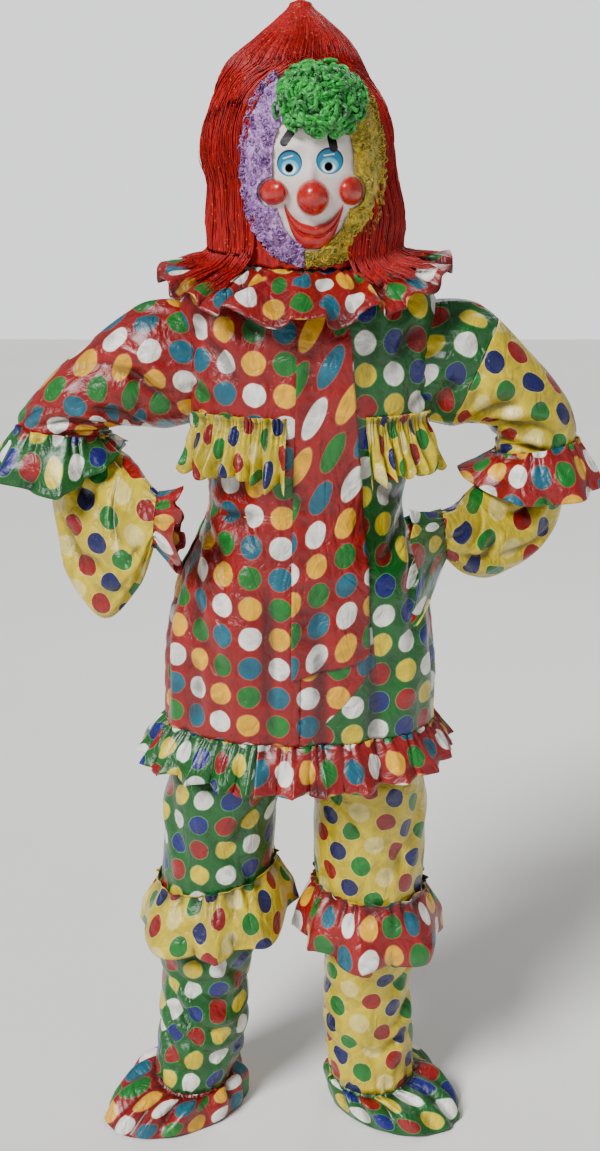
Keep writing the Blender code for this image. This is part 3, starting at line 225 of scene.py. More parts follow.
def addPiece(name, mesh, material, slot, node=None):
    # a piece has one material, rides on the body, and replaces the node of its own name unless told another
    piece = addObject(name, mesh)
    mesh.materials.append(material)
    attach(piece, root)
    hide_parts(node or nodeName(name))
    return piece


def thicken(piece, thickness, offset=1.0):
    shell = piece.modifiers.new("thickness", "SOLIDIFY")
    shell.thickness, shell.offset = thickness, offset


def closeEnds(mesh):
    # fills what is open and turns every face outwards
    work = bmesh.new()
    work.from_mesh(mesh)
    bmesh.ops.holes_fill(work, edges=work.edges, sides=0)
    bmesh.ops.recalc_face_normals(work, faces=work.faces)
    work.to_mesh(mesh)
    work.free()
    mesh.shade_smooth()


def hollowDepth(points, closed):
    # how far each point stands ahead of the mean of its neighbours, in metres; less than 0 in a trough
    soft = points
    for axis in (0, 1, 0, 1):
        ends = [(4, 4) if number == axis else (0, 0) for number in range(3)]
        if closed and axis == 1:
            wide = np.pad(soft, ends, mode="wrap")
        else:
            wide = np.pad(soft, ends, mode="reflect", reflect_type="odd")
        soft = sum(np.take(wide, arange(shift, shift + points.shape[axis]), axis=axis)
                   for shift in range(9)) / 9
    return ((points - soft) * sideways(points, closed)).sum(axis=-1)


def makeSheet(piece):
    # a thin shell; the area of its cloth is printed
    thicken(piece, clothThickness)
    area = np.zeros(len(piece.data.polygons))
    piece.data.polygons.foreach_get("area", area)
    print(f"{piece.name}: {area.sum():.3f} m2 of cloth")


def addCloth(name, points, uv, material, slot, closed=False, flip=False):
    # cloth on a grid of points; its depth in the folds is kept for the shade
    mesh = gridMesh(name, points, uv, closed, flip)
    hollow = mesh.attributes.new("hollow", "FLOAT", "POINT")
    hollow.data.foreach_set("value",
                            (hollowDepth(points, closed) * (-1 if flip else 1)).astype(np.float32).ravel())
    piece = addPiece(name, mesh, material, slot)
    makeSheet(piece)
    return piece


def addRuffle(name, points, uv, slot, closed=False, flip=True):
    addCloth(name, points, uv, satins[slot], slot, closed, flip)


def tubes(name, paths, radius, sides=4, flatten=1.0):
    # a round profile carried along many paths at once: paths is (path, step, 3), radius fits (path, step);
    # each tube is closed by drawing its two ends to a point
    count, steps = paths.shape[:2]
    ahead = unit(np.gradient(paths, axis=1))
    guide = np.where(np.abs(ahead[..., 2:3]) < 0.9, [0.0, 0.0, 1.0], [0.0, 1.0, 0.0])
    first = unit(np.cross(ahead, guide))
    second = np.cross(ahead, first)
    angle = arange(sides) * 2 * pi / sides
    radius = np.broadcast_to(radius, (count, steps)).copy()
    radius[:, [0, -1]] *= 0.05
    ring = first[:, :, None] * cos(angle)[:, None] + second[:, :, None] * sin(angle)[:, None] * flatten
    vertices = paths[:, :, None] + ring * radius[:, :, None, None]
    step, side = np.meshgrid(arange(steps - 1) * sides, arange(sides), indexing="ij")
    after = (side + 1) % sides
    quad = stack([step + side, step + sides + side, step + sides + after, step + after],
                 axis=-1).reshape(-1, 4)
    faces = arange(count)[:, None, None] * steps * sides + quad
    return writeMesh(name, vertices.reshape(-1, 3), faces.ravel(), arange(0, faces.size, 4))


# materials


def feed(tree, node, inputs):
    # each input gets a number, a colour, a vector, or the output of another node
    for slot, value in inputs.items():
        if isinstance(value, bpy.types.NodeSocket):
            tree.links.new(value, node.inputs[slot])
        elif value is not None:
            socket = node.inputs[slot]
            socket.default_value = (*value, 1.0) if socket.type == "RGBA" else value
    return node


def addNode(tree, kind, inputs, **settings):
    # a shader node of a kind, with its settings and then its inputs
    node = tree.nodes.new("ShaderNode" + kind)
    for name, value in settings.items():
        setattr(node, name, value)
    return feed(tree, node, inputs)


def addMath(tree, operation, first, second=None, third=None):
    return addNode(tree, "Math", {0: first, 1: second, 2: third}, operation=operation).outputs[0]


def addVector(tree, operation, first, second=None, scale=None):
    node = addNode(tree, "VectorMath", {0: first, 1: second, "Scale": scale}, operation=operation)
    return node.outputs["Value" if operation in ("LENGTH", "DOT_PRODUCT") else "Vector"]


def addMix(tree, factor, first, second, blend="MIX"):
    return addNode(tree, "Mix", {0: factor, 6: first, 7: second}, data_type="RGBA",
                   blend_type=blend).outputs[2]


def addNoise(tree, vector, scale, detail=3.0, rough=0.5, distortion=0.0):
    inputs = {"Vector": vector, "Scale": scale, "Detail": detail, "Roughness": rough,
              "Distortion": distortion}
    return addNode(tree, "TexNoise", inputs).outputs["Fac"]


def addRange(tree, value, fromLow, fromHigh, toLow=0.0, toHigh=1.0, way="LINEAR"):
    inputs = {"Value": value, "From Min": fromLow, "From Max": fromHigh, "To Min": toLow, "To Max": toHigh}
    return addNode(tree, "MapRange", inputs, interpolation_type=way).outputs["Result"]


def addParts(tree, vector):
    return addNode(tree, "SeparateXYZ", {0: vector}).outputs


def addShade(tree, colour, value):
    # the colour, made darker by a grey of that value
    grey = addNode(tree, "CombineColor", {0: value, 1: value, 2: value}).outputs[0]
    return addMix(tree, 1.0, colour, grey, "MULTIPLY")


def newGroup(name, inputs, outputs):
    # sockets are given as names with their kinds, such as Float or Vector
    group = bpy.data.node_groups.new(name, "ShaderNodeTree")
    for way, sockets in (("INPUT", inputs), ("OUTPUT", outputs)):
        for socketName, kind in sockets.items():
            group.interface.new_socket(name=socketName, in_out=way, socket_type="NodeSocket" + kind)
    return group, group.nodes.new("NodeGroupInput").outputs, group.nodes.new("NodeGroupOutput")


def makeSpotGroup():
    # printed spots on a square grid in metres; the next colour comes down a column,
    # and to the left along a row
    kinds = dict.fromkeys(("Pitch", "Radius", "Turn", "Narrow"), "Float")
    colours = dict.fromkeys(("Ground", "Rim", "First", "Second", "Third", "Fourth"), "Color")
    group, get, result = newGroup("printedSpots", {"Vector": "Vector", **kinds, **colours},
                                  {"Color": "Color"})
    # the pale line's width, the edge's blur, the wobble of the outline
    rim, soft, uneven = 0.0016, 0.0008, 0.0022
    wobble = addNoise(group, get["Vector"], 90.0, 1.0)
    turned = addNode(group, "VectorRotate", {"Vector": get["Vector"], "Angle": get["Turn"]},
                     rotation_type="Z_AXIS")
    inverse = addMath(group, "DIVIDE", 1.0, get["Pitch"])
    cells = addVector(group, "ADD", addVector(group, "SCALE", turned.outputs[0], scale=inverse),
                      (0.5, 0.5, 0.0))
    whole = addVector(group, "FLOOR", cells)
    local = addVector(group, "SUBTRACT", addVector(group, "SUBTRACT", cells, whole), (0.5, 0.5, 0.0))
    shape = addNode(group, "CombineXYZ", {"X": get["Narrow"], "Y": 1.0}).outputs[0]
    away = addVector(group, "LENGTH", addVector(group, "MULTIPLY", local, shape))
    away = addMath(group, "MULTIPLY", away, get["Pitch"])
    away = addMath(group, "ADD", away,
                   addMath(group, "MULTIPLY", addMath(group, "SUBTRACT", wobble, 0.5), uneven))
    parts = addParts(group, whole)
    order = addMath(group, "MULTIPLY", addMath(group, "ADD", parts[0], parts[1]), -1.0)
    order = addMath(group, "FLOORED_MODULO", order, 4.0)
    colour = get["First"]
    for number, name in ((1.0, "Second"), (2.0, "Third"), (3.0, "Fourth")):
        colour = addMix(group, addMath(group, "COMPARE", order, number, 0.1), colour, get[name])
    inside = addMath(group, "ADD", get["Radius"], -soft)
    spot = addRange(group, away, get["Radius"], inside, way="SMOOTHSTEP")
    line = addRange(group, away, addMath(group, "ADD", get["Radius"], rim), get["Radius"], way="SMOOTHSTEP")
    under = addMix(group, addMath(group, "MULTIPLY", line, 0.55), get["Ground"], get["Rim"])
    feed(group, result, {"Color": addMix(group, spot, under, colour)})
    return group


def makeSatinGroup():
    # fine satin: threads that show as a faint ribbing, and soft crumples with painted shade and light on
    # them
    group, get, result = newGroup("satinCloth", {"Vector": "Vector", "Object": "Vector", "Color": "Color"},
                                  {"Color": "Color", "Roughness": "Float", "Height": "Float"})
    threads, tall = 7800.0, {"weave": 0.00002, "crumple": 0.006, "fold": 0.0011, "fine": 0.0005}
    parts = addParts(group, get["Vector"])
    across = addMath(group, "SINE", addMath(group, "MULTIPLY", parts[0], threads))
    down = addMath(group, "SINE", addMath(group, "MULTIPLY", parts[1], threads))
    crumple = addNoise(group, get["Object"], 30.0, 3.0, 0.55, 0.8)
    fine = addNoise(group, get["Object"], 150.0, 2.0)
    # thin folds lie where a slanted noise crosses its middle value
    folded = addNoise(group, addVector(group, "MULTIPLY", get["Object"], (1.0, 0.7, 0.55)),
                      22.0, 2.0, 0.5, 1.0)
    folded = addRange(group, addMath(group, "ABSOLUTE", addMath(group, "SUBTRACT", folded, 0.5)), 0.0, 0.1)
    height = addMath(group, "MULTIPLY", crumple, tall["crumple"])
    for relief, rise in ((folded, "fold"), (fine, "fine"),
                         (addMath(group, "MULTIPLY", across, down), "weave")):
        height = addMath(group, "ADD", height, addMath(group, "MULTIPLY", relief, tall[rise]))
    # painted shade and light: the colour is darker where the crumples are low and lighter where they are
    # high
    shaded = addShade(group, get["Color"], addRange(group, crumple, 0.3, 0.7, 0.62, 1.12))
    feed(group, result,
         {"Color": shaded, "Roughness": addRange(group, fine, 0.2, 0.8, 0.33, 0.46), "Height": height})
    return group


spotGroup, satinGroup = makeSpotGroup(), makeSatinGroup()


def newMaterial(name):
    material = bpy.data.materials.new(name)
    material.use_nodes = True
    tree = material.node_tree
    return material, tree, tree.nodes["Principled BSDF"], tree.nodes.new("ShaderNodeTexCoord").outputs


def placeGroup(tree, group, inputs):
    return addNode(tree, "Group", inputs, node_tree=group).outputs


def addBump(tree, height):
    # turns heights in metres into a bumped normal
    return addNode(tree, "Bump", {"Height": height, "Distance": 1.0, "Strength": 1.0}).outputs["Normal"]


dyes = {
    "white": (0.88, 0.87, 0.8), "teal": (0.003, 0.11, 0.17), "leaf": (0.003, 0.16, 0.014),
    "amber": (0.8, 0.4, 0.002), "lemon": (0.72, 0.53, 0.003), "scarlet": (0.28, 0.0012, 0.001),
    "blue": (0.002, 0.007, 0.16),
    "navy": (0.003, 0.006, 0.09), "cream": (0.76, 0.62, 0.16), "red": (0.27, 0.0004, 0.0006),
    "green": (0.0008, 0.1, 0.009), "yellow": (0.62, 0.46, 0.002), "pink": (0.56, 0.12, 0.07),
    "mint": (0.16, 0.42, 0.12),
}


def printSpots(tree, vector, ground, rim, spots, pitch=0.045, radius=0.0175, turn=0.0, narrow=1.0):
    colours = dict(zip(("Ground", "Rim", "First", "Second", "Third", "Fourth"), (ground, rim, *spots)))
    inputs = {"Vector": vector, "Pitch": pitch, "Radius": radius, "Turn": turn, "Narrow": narrow}
    return placeGroup(tree, spotGroup,
                      {**inputs, **{name: dyes[dye] for name, dye in colours.items()}})["Color"]


# the lap's upper edge and its right edge are straight lines, and it ends at a level line on top
redCorner = {"upRise": 1.12, "upAtMiddle": 0.6952, "rightLean": -0.1, "rightAtFloor": 0.1936, "top": 0.88}


def addRedCorner(tree, where, colour):
    # below the flap the red front laps over the green one, and its edge runs slantwise down to the hem
    shift = (greenSpotAt[0] - redSpotAt[0], greenSpotAt[1] - redSpotAt[1], 0.0)
    lapped = printSpots(tree, addVector(tree, "ADD", where["UV"], shift), "red", "pink", redSpots)
    parts = addParts(tree, where["Object"])
    x, height = parts["X"], addMath(tree, "ADD", parts["Z"], shoulderHeight)
    upper = addMath(tree, "MULTIPLY_ADD", x, redCorner["upRise"], redCorner["upAtMiddle"])
    right = addMath(tree, "MULTIPLY_ADD", height, redCorner["rightLean"], redCorner["rightAtFloor"])
    nearest = addMath(tree, "MINIMUM", addMath(tree, "SUBTRACT", height, upper),
                      addMath(tree, "SUBTRACT", right, x))
    nearest = addMath(tree, "MINIMUM", nearest, addMath(tree, "SUBTRACT", redCorner["top"], height))
    mixed = addMix(tree, addMath(tree, "GREATER_THAN", nearest, 0.0), colour, lapped)
    # painted shade: a dark line lies along the lap's edges
    seamShade = addRange(tree, addMath(tree, "ABSOLUTE", nearest), 0.0003, 0.0022, 0.55, 0.0)
    return addMix(tree, seamShade, mixed, (0.03, 0.004, 0.003))


def makeSatin(name, ground, rim, spots, pitch=0.045, radius=0.0175, turn=0.0, narrow=None, corner=False):
    material, tree, shader, where = newMaterial(name)
    narrowing = addRange(tree, addParts(tree, where["Object"])["Z"], *narrow) if narrow else 1.0
    colour = printSpots(tree, where["UV"], ground, rim, spots, pitch, radius, turn, narrowing)
    if corner:
        colour = addRedCorner(tree, where, colour)
    # less light gets into the troughs between folds
    hollow = addNode(tree, "Attribute", {}, attribute_name="hollow").outputs["Fac"]
    colour = addShade(tree, colour, addRange(tree, hollow, -0.003, 0.0002, 0.4, 1.0))
    satin = placeGroup(tree, satinGroup, {"Vector": where["UV"], "Object": where["Object"], "Color": colour})
    feed(tree, shader, {"Base Color": satin["Color"], "Roughness": satin["Roughness"],
                        "Normal": addBump(tree, satin["Height"]), "Specular IOR Level": 0.5,
                        "Sheen Weight": 0.05, "Sheen Roughness": 0.4,
                        "Coat Weight": 0.28, "Coat Roughness": 0.22})
    return material


# where a spot of the first colour lies in each cloth's own measure, from the photograph
redSpotAt, greenSpotAt, yellowSpotAt = (-0.078, 0.871), (0.125, 0.899), (0.128, 0.64)
redSpots, greenSpots = ("white", "teal", "leaf", "amber"), ("white", "lemon", "scarlet", "blue")
redSatin = makeSatin("redSatin", "red", "pink", redSpots)
greenSatin = makeSatin("greenSatin", "green", "mint", greenSpots)
cornerSatin = makeSatin("cornerSatin", "green", "mint", greenSpots, corner=True)
yellowSatin = makeSatin("yellowSatin", "yellow", "cream", ("scarlet", "cream", "leaf", "navy"),
                        0.044, 0.016, 0.46)
# the colours run the other way on the flap, whose spots grow longer and narrower from low down to its top
flapSatin = makeSatin("flapSatin", "red", "pink", ("white", "amber", "leaf", "teal"), 0.045, 0.0185,
                      narrow=(-0.46, -0.3, 1.05, 1.2))
legSatin = makeSatin("legSatin", "green", "mint", ("blue", "scarlet", "lemon", "white"), 0.044, 0.0165, 0.05)
satins = {"satin_red": redSatin, "satin_green": greenSatin, "satin_yellow": yellowSatin}
print("materials made")

# tunic

tunicShape = {
    # height, half width, front, back, centre x
    "rows": [
        (0.705, 0.21, 0.143, 0.138, 0.0), (0.79, 0.2075, 0.141, 0.139, 0.001),
        (0.87, 0.2, 0.136, 0.136, 0.002), (0.94, 0.184, 0.13, 0.132, 0.004),
        (1.0, 0.159, 0.123, 0.127, 0.006), (1.045, 0.146, 0.117, 0.122, 0.008),
        (1.09, 0.151, 0.117, 0.122, 0.011), (1.15, 0.175, 0.123, 0.125, 0.014),
        (1.22, 0.185, 0.128, 0.126, 0.013), (1.29, 0.187, 0.124, 0.122, 0.012),
        (1.33, 0.187, 0.115, 0.116, 0.011), (1.352, 0.181, 0.107, 0.11, 0.01),
        (1.37, 0.165, 0.099, 0.105, 0.008), (1.386, 0.139, 0.09, 0.1, 0.006),
        (1.4, 0.107, 0.082, 0.093, 0.005), (1.412, 0.08, 0.075, 0.084, 0.004)],
    # turn, spread, height, reach, depth
    "folds": [
        (-62, 11, 0.8, 0.16, 0.007), (-28, 10, 0.86, 0.2, 0.006), (-80, 9, 0.98, 0.1, -0.007),
        (56, 10, 0.8, 0.18, 0.007), (78, 10, 0.92, 0.14, -0.006), (-40, 12, 1.06, 0.07, -0.006),
        (120, 13, 0.84, 0.2, 0.007), (160, 12, 0.92, 0.2, 0.006), (-150, 13, 0.82, 0.2, 0.007),
        (-118, 11, 0.95, 0.16, -0.006), (180, 14, 1.2, 0.1, -0.006)],
    # degrees round and height of both ends, bow, width, depth: pulls to the waist, armholes and hem
    "creases": [
        (-84, 1.02, -38, 0.955, 1.0, 2.6, -0.0036), (-86, 1.0, -50, 0.88, 2.0, 2.8, -0.0034),
        (-80, 1.055, -24, 1.045, -1.2, 2.2, -0.003), (-84, 1.07, -46, 1.13, 1.2, 2.4, -0.0034),
        (-70, 0.93, -40, 0.8, 1.5, 3.2, -0.0028), (-22, 0.98, -16, 0.76, 1.2, 2.6, -0.0024),
        (-52, 0.84, -50, 0.72, 0.8, 2.6, -0.0032), (-74, 0.85, -72, 0.72, 0.8, 2.4, -0.0034),
        (-64, 1.31, -30, 1.22, 1.4, 2.6, -0.0036), (-56, 1.36, -20, 1.3, 1.0, 2.2, -0.003),
        (-72, 1.24, -44, 1.19, 0.8, 2.2, -0.003), (-48, 1.385, -30, 1.26, 0.6, 2.4, 0.0026),
        (84, 1.03, 40, 0.96, -1.0, 2.6, -0.0036), (86, 1.0, 52, 0.87, -2.0, 2.8, -0.0036),
        (80, 1.06, 38, 1.1, 1.2, 2.2, -0.0032), (84, 1.09, 52, 1.15, 1.2, 2.4, -0.0034),
        (68, 0.9, 46, 0.78, -1.5, 3.0, -0.003), (34, 0.92, 40, 0.74, 1.0, 2.4, -0.0026),
        (74, 0.84, 76, 0.72, 0.8, 2.6, -0.0034), (62, 1.32, 38, 1.24, -1.2, 2.4, -0.0036),
        (66, 1.37, 34, 1.33, 0.8, 2.2, -0.003), (76, 1.22, 50, 1.19, -0.8, 2.2, -0.0028),
        (96, 1.03, 140, 0.97, 1.4, 2.8, -0.0036), (98, 0.99, 130, 0.86, 2.0, 3.0, -0.0034),
        (100, 1.08, 136, 1.15, 1.0, 2.4, -0.0032), (118, 1.33, 150, 1.24, 1.4, 2.8, -0.0036),
        (126, 1.38, 160, 1.31, 1.0, 2.4, -0.003), (150, 0.9, 146, 0.73, 1.0, 3.0, -0.003),
        (172, 0.98, 168, 0.75, 1.0, 2.8, -0.003), (112, 0.85, 110, 0.72, 0.8, 2.6, -0.0032),
        (264, 1.03, 220, 0.96, 1.4, 2.8, -0.0036), (262, 1.0, 232, 0.87, 2.0, 3.0, -0.0034),
        (260, 1.08, 222, 1.14, 1.0, 2.4, -0.0032), (240, 1.33, 208, 1.25, 1.4, 2.8, -0.0036),
        (232, 1.38, 198, 1.32, 1.0, 2.4, -0.003), (212, 0.9, 216, 0.73, 1.0, 3.0, -0.003),
        (190, 1.0, 194, 0.76, 1.0, 2.8, -0.003), (250, 0.85, 252, 0.72, 0.8, 2.6, -0.0032),
        (164, 1.1, 198, 1.08, 0.8, 2.2, -0.003), (160, 1.04, 200, 1.055, 0.8, 2.0, -0.0026)],
    "neckHeight": 1.412, "neckDip": 0.022, "yokeHeight": 1.29, "bottom": 0.705,
    "rowCount": 128, "columnCount": 42, "creaseScale": 0.0026,
    "seamGap": 0.0014, "flat": (0.3, 0.76), "area": 0.2,
}


def neckHeight(turn):
    # the neck's edge dips in front, by the square of half of one plus the cosine of the turn
    return tunicShape["neckHeight"] - tunicShape["neckDip"] * ((1 + cos(turn)) / 2) ** 2


def tunicOutline(turn, height):
    # an oval at each height, with the large folds pushed out along its radius
    turn, height = arrays(turn, height)
    _, halfWidth, front, back, centreX = tableAtKey(tunicShape["rows"], height)
    depth = np.where(cos(turn) > 0, front, back)
    push = sum(out * turnBump(turn, at, wide) * bump(height, level, tall)
               for at, wide, level, tall, out in tunicShape["folds"])
    return stack([centreX + (halfWidth + push) * sin(turn), -(depth + push) * cos(turn), height], axis=-1)


def tunicCrease(turn, height):
    # the table's creases, in metres of cloth round the body, with flutes and small puckers along the seams
    degrees = np.degrees(turn)
    scale = tunicShape["creaseScale"]
    across = np.where(degrees < -90, degrees + 360, degrees) * scale
    creases = [(a * scale, b, c * scale, d, bow * 0.01, width * 0.005, depth)
               for a, b, c, d, bow, width, depth in tunicShape["creases"]]
    push = creaseField(across, height, creases)
    # flutes below the waist and on the chest: a narrow trough in each wave of the cloth, faded out upwards
    trough = 0.5 - 0.5 * cos(across * 2 * pi / 0.064 + 1.6 * sin(across * 11 + 0.7) + (height - 0.85) * 3)
    trough = trough ** 2.5 * (0.7 + 0.3 * sin(across * 23))
    push = push + (0.0024 - 0.0095 * trough) * clip((1.02 - height) / 0.2, 0, 1) ** 1.2
    push = push + (0.001 - 0.0046 * trough) * bump(height, 1.27, 0.1)
    push = (push + 0.001 * unevenness(across, height * 0.8, 0.16, 3)
            + 0.0005 * unevenness(across, height, 0.05, 4))
    # puckers sink in along the four seams, a little less at the sides
    toSeam = np.abs(sin(2 * turn)) * 0.075
    pucker = (0.0012 + 0.0009 * sin(height * 300 + 2 * sin(height * 41))) * bump(toSeam, 0, 0.006)
    push = push - pucker * np.where(np.abs(sin(turn)) < 0.5, 1.0, 0.8)
    return push * clip((neckHeight(turn) - height) / 0.03, 0.15, 1)


def tunicSurface(turn, height, lift=0.0004):
    turn, height = arrays(turn, height)
    return tunicOutline(turn, height) + outFrom(turn) * (tunicCrease(turn, height) + lift)[..., None]


def tunicTurn(x, height):
    # the turn at which the tunic's front has this x: the arcsine of its share of the half width
    _, halfWidth, _, _, centreX = tableAtKey(tunicShape["rows"], height)
    return np.arcsin(clip((x - centreX) / halfWidth, -1, 1))


leftSleeve = {
    # outer x and height, inner x and height, as seen from the front, then centre y and half depth
    "rows": [
        (-0.152, 1.343, -0.142, 1.17, 0.002, 0.062), (-0.222, 1.339, -0.196, 1.156, 0.004, 0.071),
        (-0.278, 1.306, -0.236, 1.157, 0.01, 0.072), (-0.345, 1.253, -0.264, 1.158, 0.018, 0.069),
        (-0.395, 1.204, -0.282, 1.154, 0.024, 0.065), (-0.419, 1.172, -0.289, 1.148, 0.028, 0.062),
        (-0.422, 1.148, -0.291, 1.139, 0.03, 0.06)],
    # section along, degrees round, at both ends, bow, width, depth
    "creases": [
        (0.5, 150, 2.4, 70, 3, 2.4, -0.0046), (0.9, 120, 3.0, 40, 2, 2.2, -0.004),
        (1.6, 170, 3.4, 100, 2, 2.2, -0.0044), (2.6, 165, 4.4, 110, 2, 2.0, -0.0042),
        (3.3, 150, 5.4, 60, 3, 2.2, -0.0044), (4.3, 170, 5.7, 90, 2, 1.8, -0.0038),
        (4.0, 60, 5.6, 20, 2, 2.0, -0.0036), (0.5, 230, 2.6, 300, -3, 2.4, -0.0044),
        (1.8, 200, 3.8, 270, -2, 2.2, -0.0042), (3.2, 200, 5.4, 300, -3, 2.2, -0.0042),
        (4.4, 190, 5.7, 260, -2, 1.8, -0.0036), (0.4, 40, 1.6, 20, 1, 2.0, -0.0026),
        (0.4, 320, 1.6, 340, 1, 2.0, -0.0026)],
    "whole": {"flat": (0.46, 0.31), "area": 0.118},
}
rightSleeve = {
    "rows": [
        (0.178, 1.343, 0.168, 1.172, 0.002, 0.062), (0.252, 1.34, 0.222, 1.159, 0.004, 0.071),
        (0.3, 1.305, 0.252, 1.162, 0.01, 0.072), (0.352, 1.252, 0.278, 1.159, 0.018, 0.069),
        (0.394, 1.203, 0.292, 1.144, 0.024, 0.065), (0.414, 1.16, 0.297, 1.126, 0.028, 0.062),
        (0.415, 1.124, 0.299, 1.11, 0.03, 0.06)],
    "creases": [
        (0.4, 150, 1.7, 80, 3, 2.2, -0.0044), (0.6, 120, 1.8, 40, 2, 2.2, -0.0036),
        (1.6, 170, 3.2, 90, 2, 2.2, -0.0044), (2.4, 165, 4.2, 110, 2, 2.0, -0.0044),
        (3.2, 150, 5.2, 60, 3, 2.2, -0.0044), (4.3, 170, 5.7, 90, 2, 1.8, -0.004),
        (4.8, 160, 5.8, 70, 1, 1.6, -0.004), (0.5, 230, 2.6, 300, -3, 2.4, -0.0044),
        (1.8, 200, 3.8, 270, -2, 2.2, -0.0042), (3.2, 200, 5.4, 300, -3, 2.2, -0.0042),
        (4.4, 190, 5.7, 260, -2, 1.8, -0.0036), (0.4, 40, 1.5, 20, 1, 2.0, -0.0026)],
    "seamOuter": 1.75, "seamInner": 0.95, "upper": {"flat": (0.43, 0.12), "area": 0.046},
    "band": {"flat": (0.43, 0.24), "area": 0.072},
}
# section along, its spread, degrees round, their spread, reach outwards
sleeveFolds = [
    (1.5, 0.35, 110, 50, -0.006), (2.6, 0.35, -100, 55, -0.006), (3.4, 0.35, 80, 60, 0.006),
    (4.4, 0.35, 180, 50, -0.005)]
lowerFolds = [(2.0, 0.5, 90, 40, -0.007), (3.2, 0.5, -60, 40, -0.008), (4.2, 0.5, 60, 45, 0.006)]
sleeveColumns = 88


def sleeveOutline(rows, folds, turn, along):
    # an oval across the sleeve at each section: 0 on its outer edge, 90 in front, 180 on its inner edge
    turn, along = arrays(turn, along)
    outerX, outerZ, innerX, innerZ, centreY, halfDepth = tableAt(rows, along)
    push = 1 + sum(out / 0.065 * bump(along, at, wide) * turnBump(turn, middle, spread)
                   for at, wide, middle, spread, out in folds)
    x = (outerX + innerX) / 2 + (outerX - innerX) / 2 * cos(turn) * push
    z = (outerZ + innerZ) / 2 + (outerZ - innerZ) / 2 * cos(turn) * push
    return stack([x, centreY - halfDepth * sin(turn) * push, z], axis=-1)


def sleeveGrid(shape, folds, along, seed, startSeam=True, endSeam=True):
    # the outline with its creases, and puckers where it is gathered into the seams at its ends;
    # creases are placed in metres of cloth, and the seam of the tube lies on its inner edge
    rows, reach = shape["rows"], 0.07
    turn, along = arrays(ringTurns(pi, sleeveColumns), along)
    middle = sleeveOutline(rows, folds, linspace(0, 2 * pi, 24, endpoint=False),
                           linspace(0, len(rows) - 1, 30)[:, None]).mean(axis=1)
    section = np.linalg.norm(np.diff(middle, axis=0), axis=-1).sum() / (len(rows) - 1)
    points = sleeveOutline(rows, folds, turn, along)
    creases = [(radians(b) * reach, a * section, radians(d) * reach, c * section, bow * 0.004,
                width * 0.0042, depth) for a, b, c, d, bow, width, depth in shape["creases"]]
    push = creaseField(turn * reach, along * section, creases)
    push = push + 0.0008 * sin(turn * 5 + along * 2) * sin(along * 3.1)
    gather = cos(turn * 17 + 3 * sin(turn * 3 + seed)) * (0.7 + 0.3 * sin(turn * 5))
    for use, distance in ((startSeam, along), (endSeam, len(rows) - 1 - along)):
        if use:
            push = push + bump(distance * section, 0, 0.048) * (0.0027 * gather - 0.0012)
    return points + unit(points - points.mean(axis=1, keepdims=True)) * push[..., None]


def cutHole(piece, points):
    # cuts a closed tube through rings of points out of a piece, once its thickness is applied
    mesh = gridMesh(piece.name + ".cutter", points, closed=True)
    closeEnds(mesh)
    cutter = addObject(piece.name + ".cutter", mesh)
    hole = piece.modifiers.new("hole", "BOOLEAN")
    hole.operation, hole.solver, hole.object = "DIFFERENCE", "EXACT", cutter
    bpy.context.view_layer.objects.active = piece
    for modifier in list(piece.modifiers):
        with bpy.context.temp_override(object=piece, active_object=piece):
            bpy.ops.object.modifier_apply(modifier=modifier.name)
    bpy.data.objects.remove(cutter)
    piece.data.shade_smooth()


def armhole(sleeve):
    # the sleeve's own surface, a little smaller, so that the seam shows no gap
    turns = linspace(0, 2 * pi, 48, endpoint=False)
    points = sleeveOutline(sleeve["rows"], sleeveFolds, turns, np.array([0.0, 0.0, 0.35, 0.7, 1.1])[:, None])
    centre = points.mean(axis=1, keepdims=True)
    smaller = centre + (points - centre) * 0.96
    smaller[0] = smaller[1] + (smaller[1] - smaller[2]) * 0.3
    return smaller


tunicPanels = [
    ("tunicFrontLeft", -90, 0, "satin_red", -1, leftSleeve),
    ("tunicFrontRight", 0, 90, "satin_green", 0, rightSleeve),
    ("tunicBackRight", 90, 180, "satin_green", -1, rightSleeve),
    ("tunicBackLeft", 180, 270, "satin_red", 0, leftSleeve)]
spotsAt = {"satin_red": redSpotAt, "satin_green": greenSpotAt, "satin_yellow": yellowSpotAt}


def dressTunic():
    low, yoke, top = tunicShape["bottom"], tunicShape["yokeHeight"], tunicShape["neckHeight"]
    gap = tunicShape["seamGap"]
    for name, start, end, slot, anchor, sleeve in tunicPanels:
        turns = radians(start) + gap
        turns = turns + linspace(0, 1, tunicShape["columnCount"]) * (radians(end - start) - 2 * gap)
        # above the yoke the rows draw together under the neck's dip
        heights = linspace(low, top, tunicShape["rowCount"])[:, None]
        drawn = (neckHeight(turns) - yoke) / (top - yoke)
        heights = np.where(heights > yoke, yoke + (heights - yoke) * drawn, heights)
        points = tunicSurface(turns, heights)
        across = runLength(points, 1)
        across = across - across[:, [anchor]]
        spotX, spotY = spotsAt[slot]
        spotX = -spotX if abs(start) == 180 else spotX
        uv = stack(arrays(across - spotX, runLength(points, 0)[:, [anchor]] + low - spotY), axis=-1)
        cloth = cornerSatin if name == "tunicFrontRight" else satins[slot]
        cutHole(addCloth(name, points, uv, cloth, slot), armhole(sleeve))


dressTunic()
print("tunic made")

# front flap

flapShape = {
    "edges": [
        (0.8, -0.012, 0.105), (0.9, -0.012, 0.101), (1.0, -0.011, 0.093), (1.1, -0.009, 0.085),
        (1.2, -0.006, 0.077), (1.29, -0.004, 0.069), (1.35, -0.003, 0.061)],
    "footLeft": 0.808, "footRight": 0.836, "top": 1.332, "rowCount": 120, "columnCount": 26,
    "lean": 0.2, "roundHeight": 1.0, "flat": (0.117, 0.535), "area": 0.053,
}


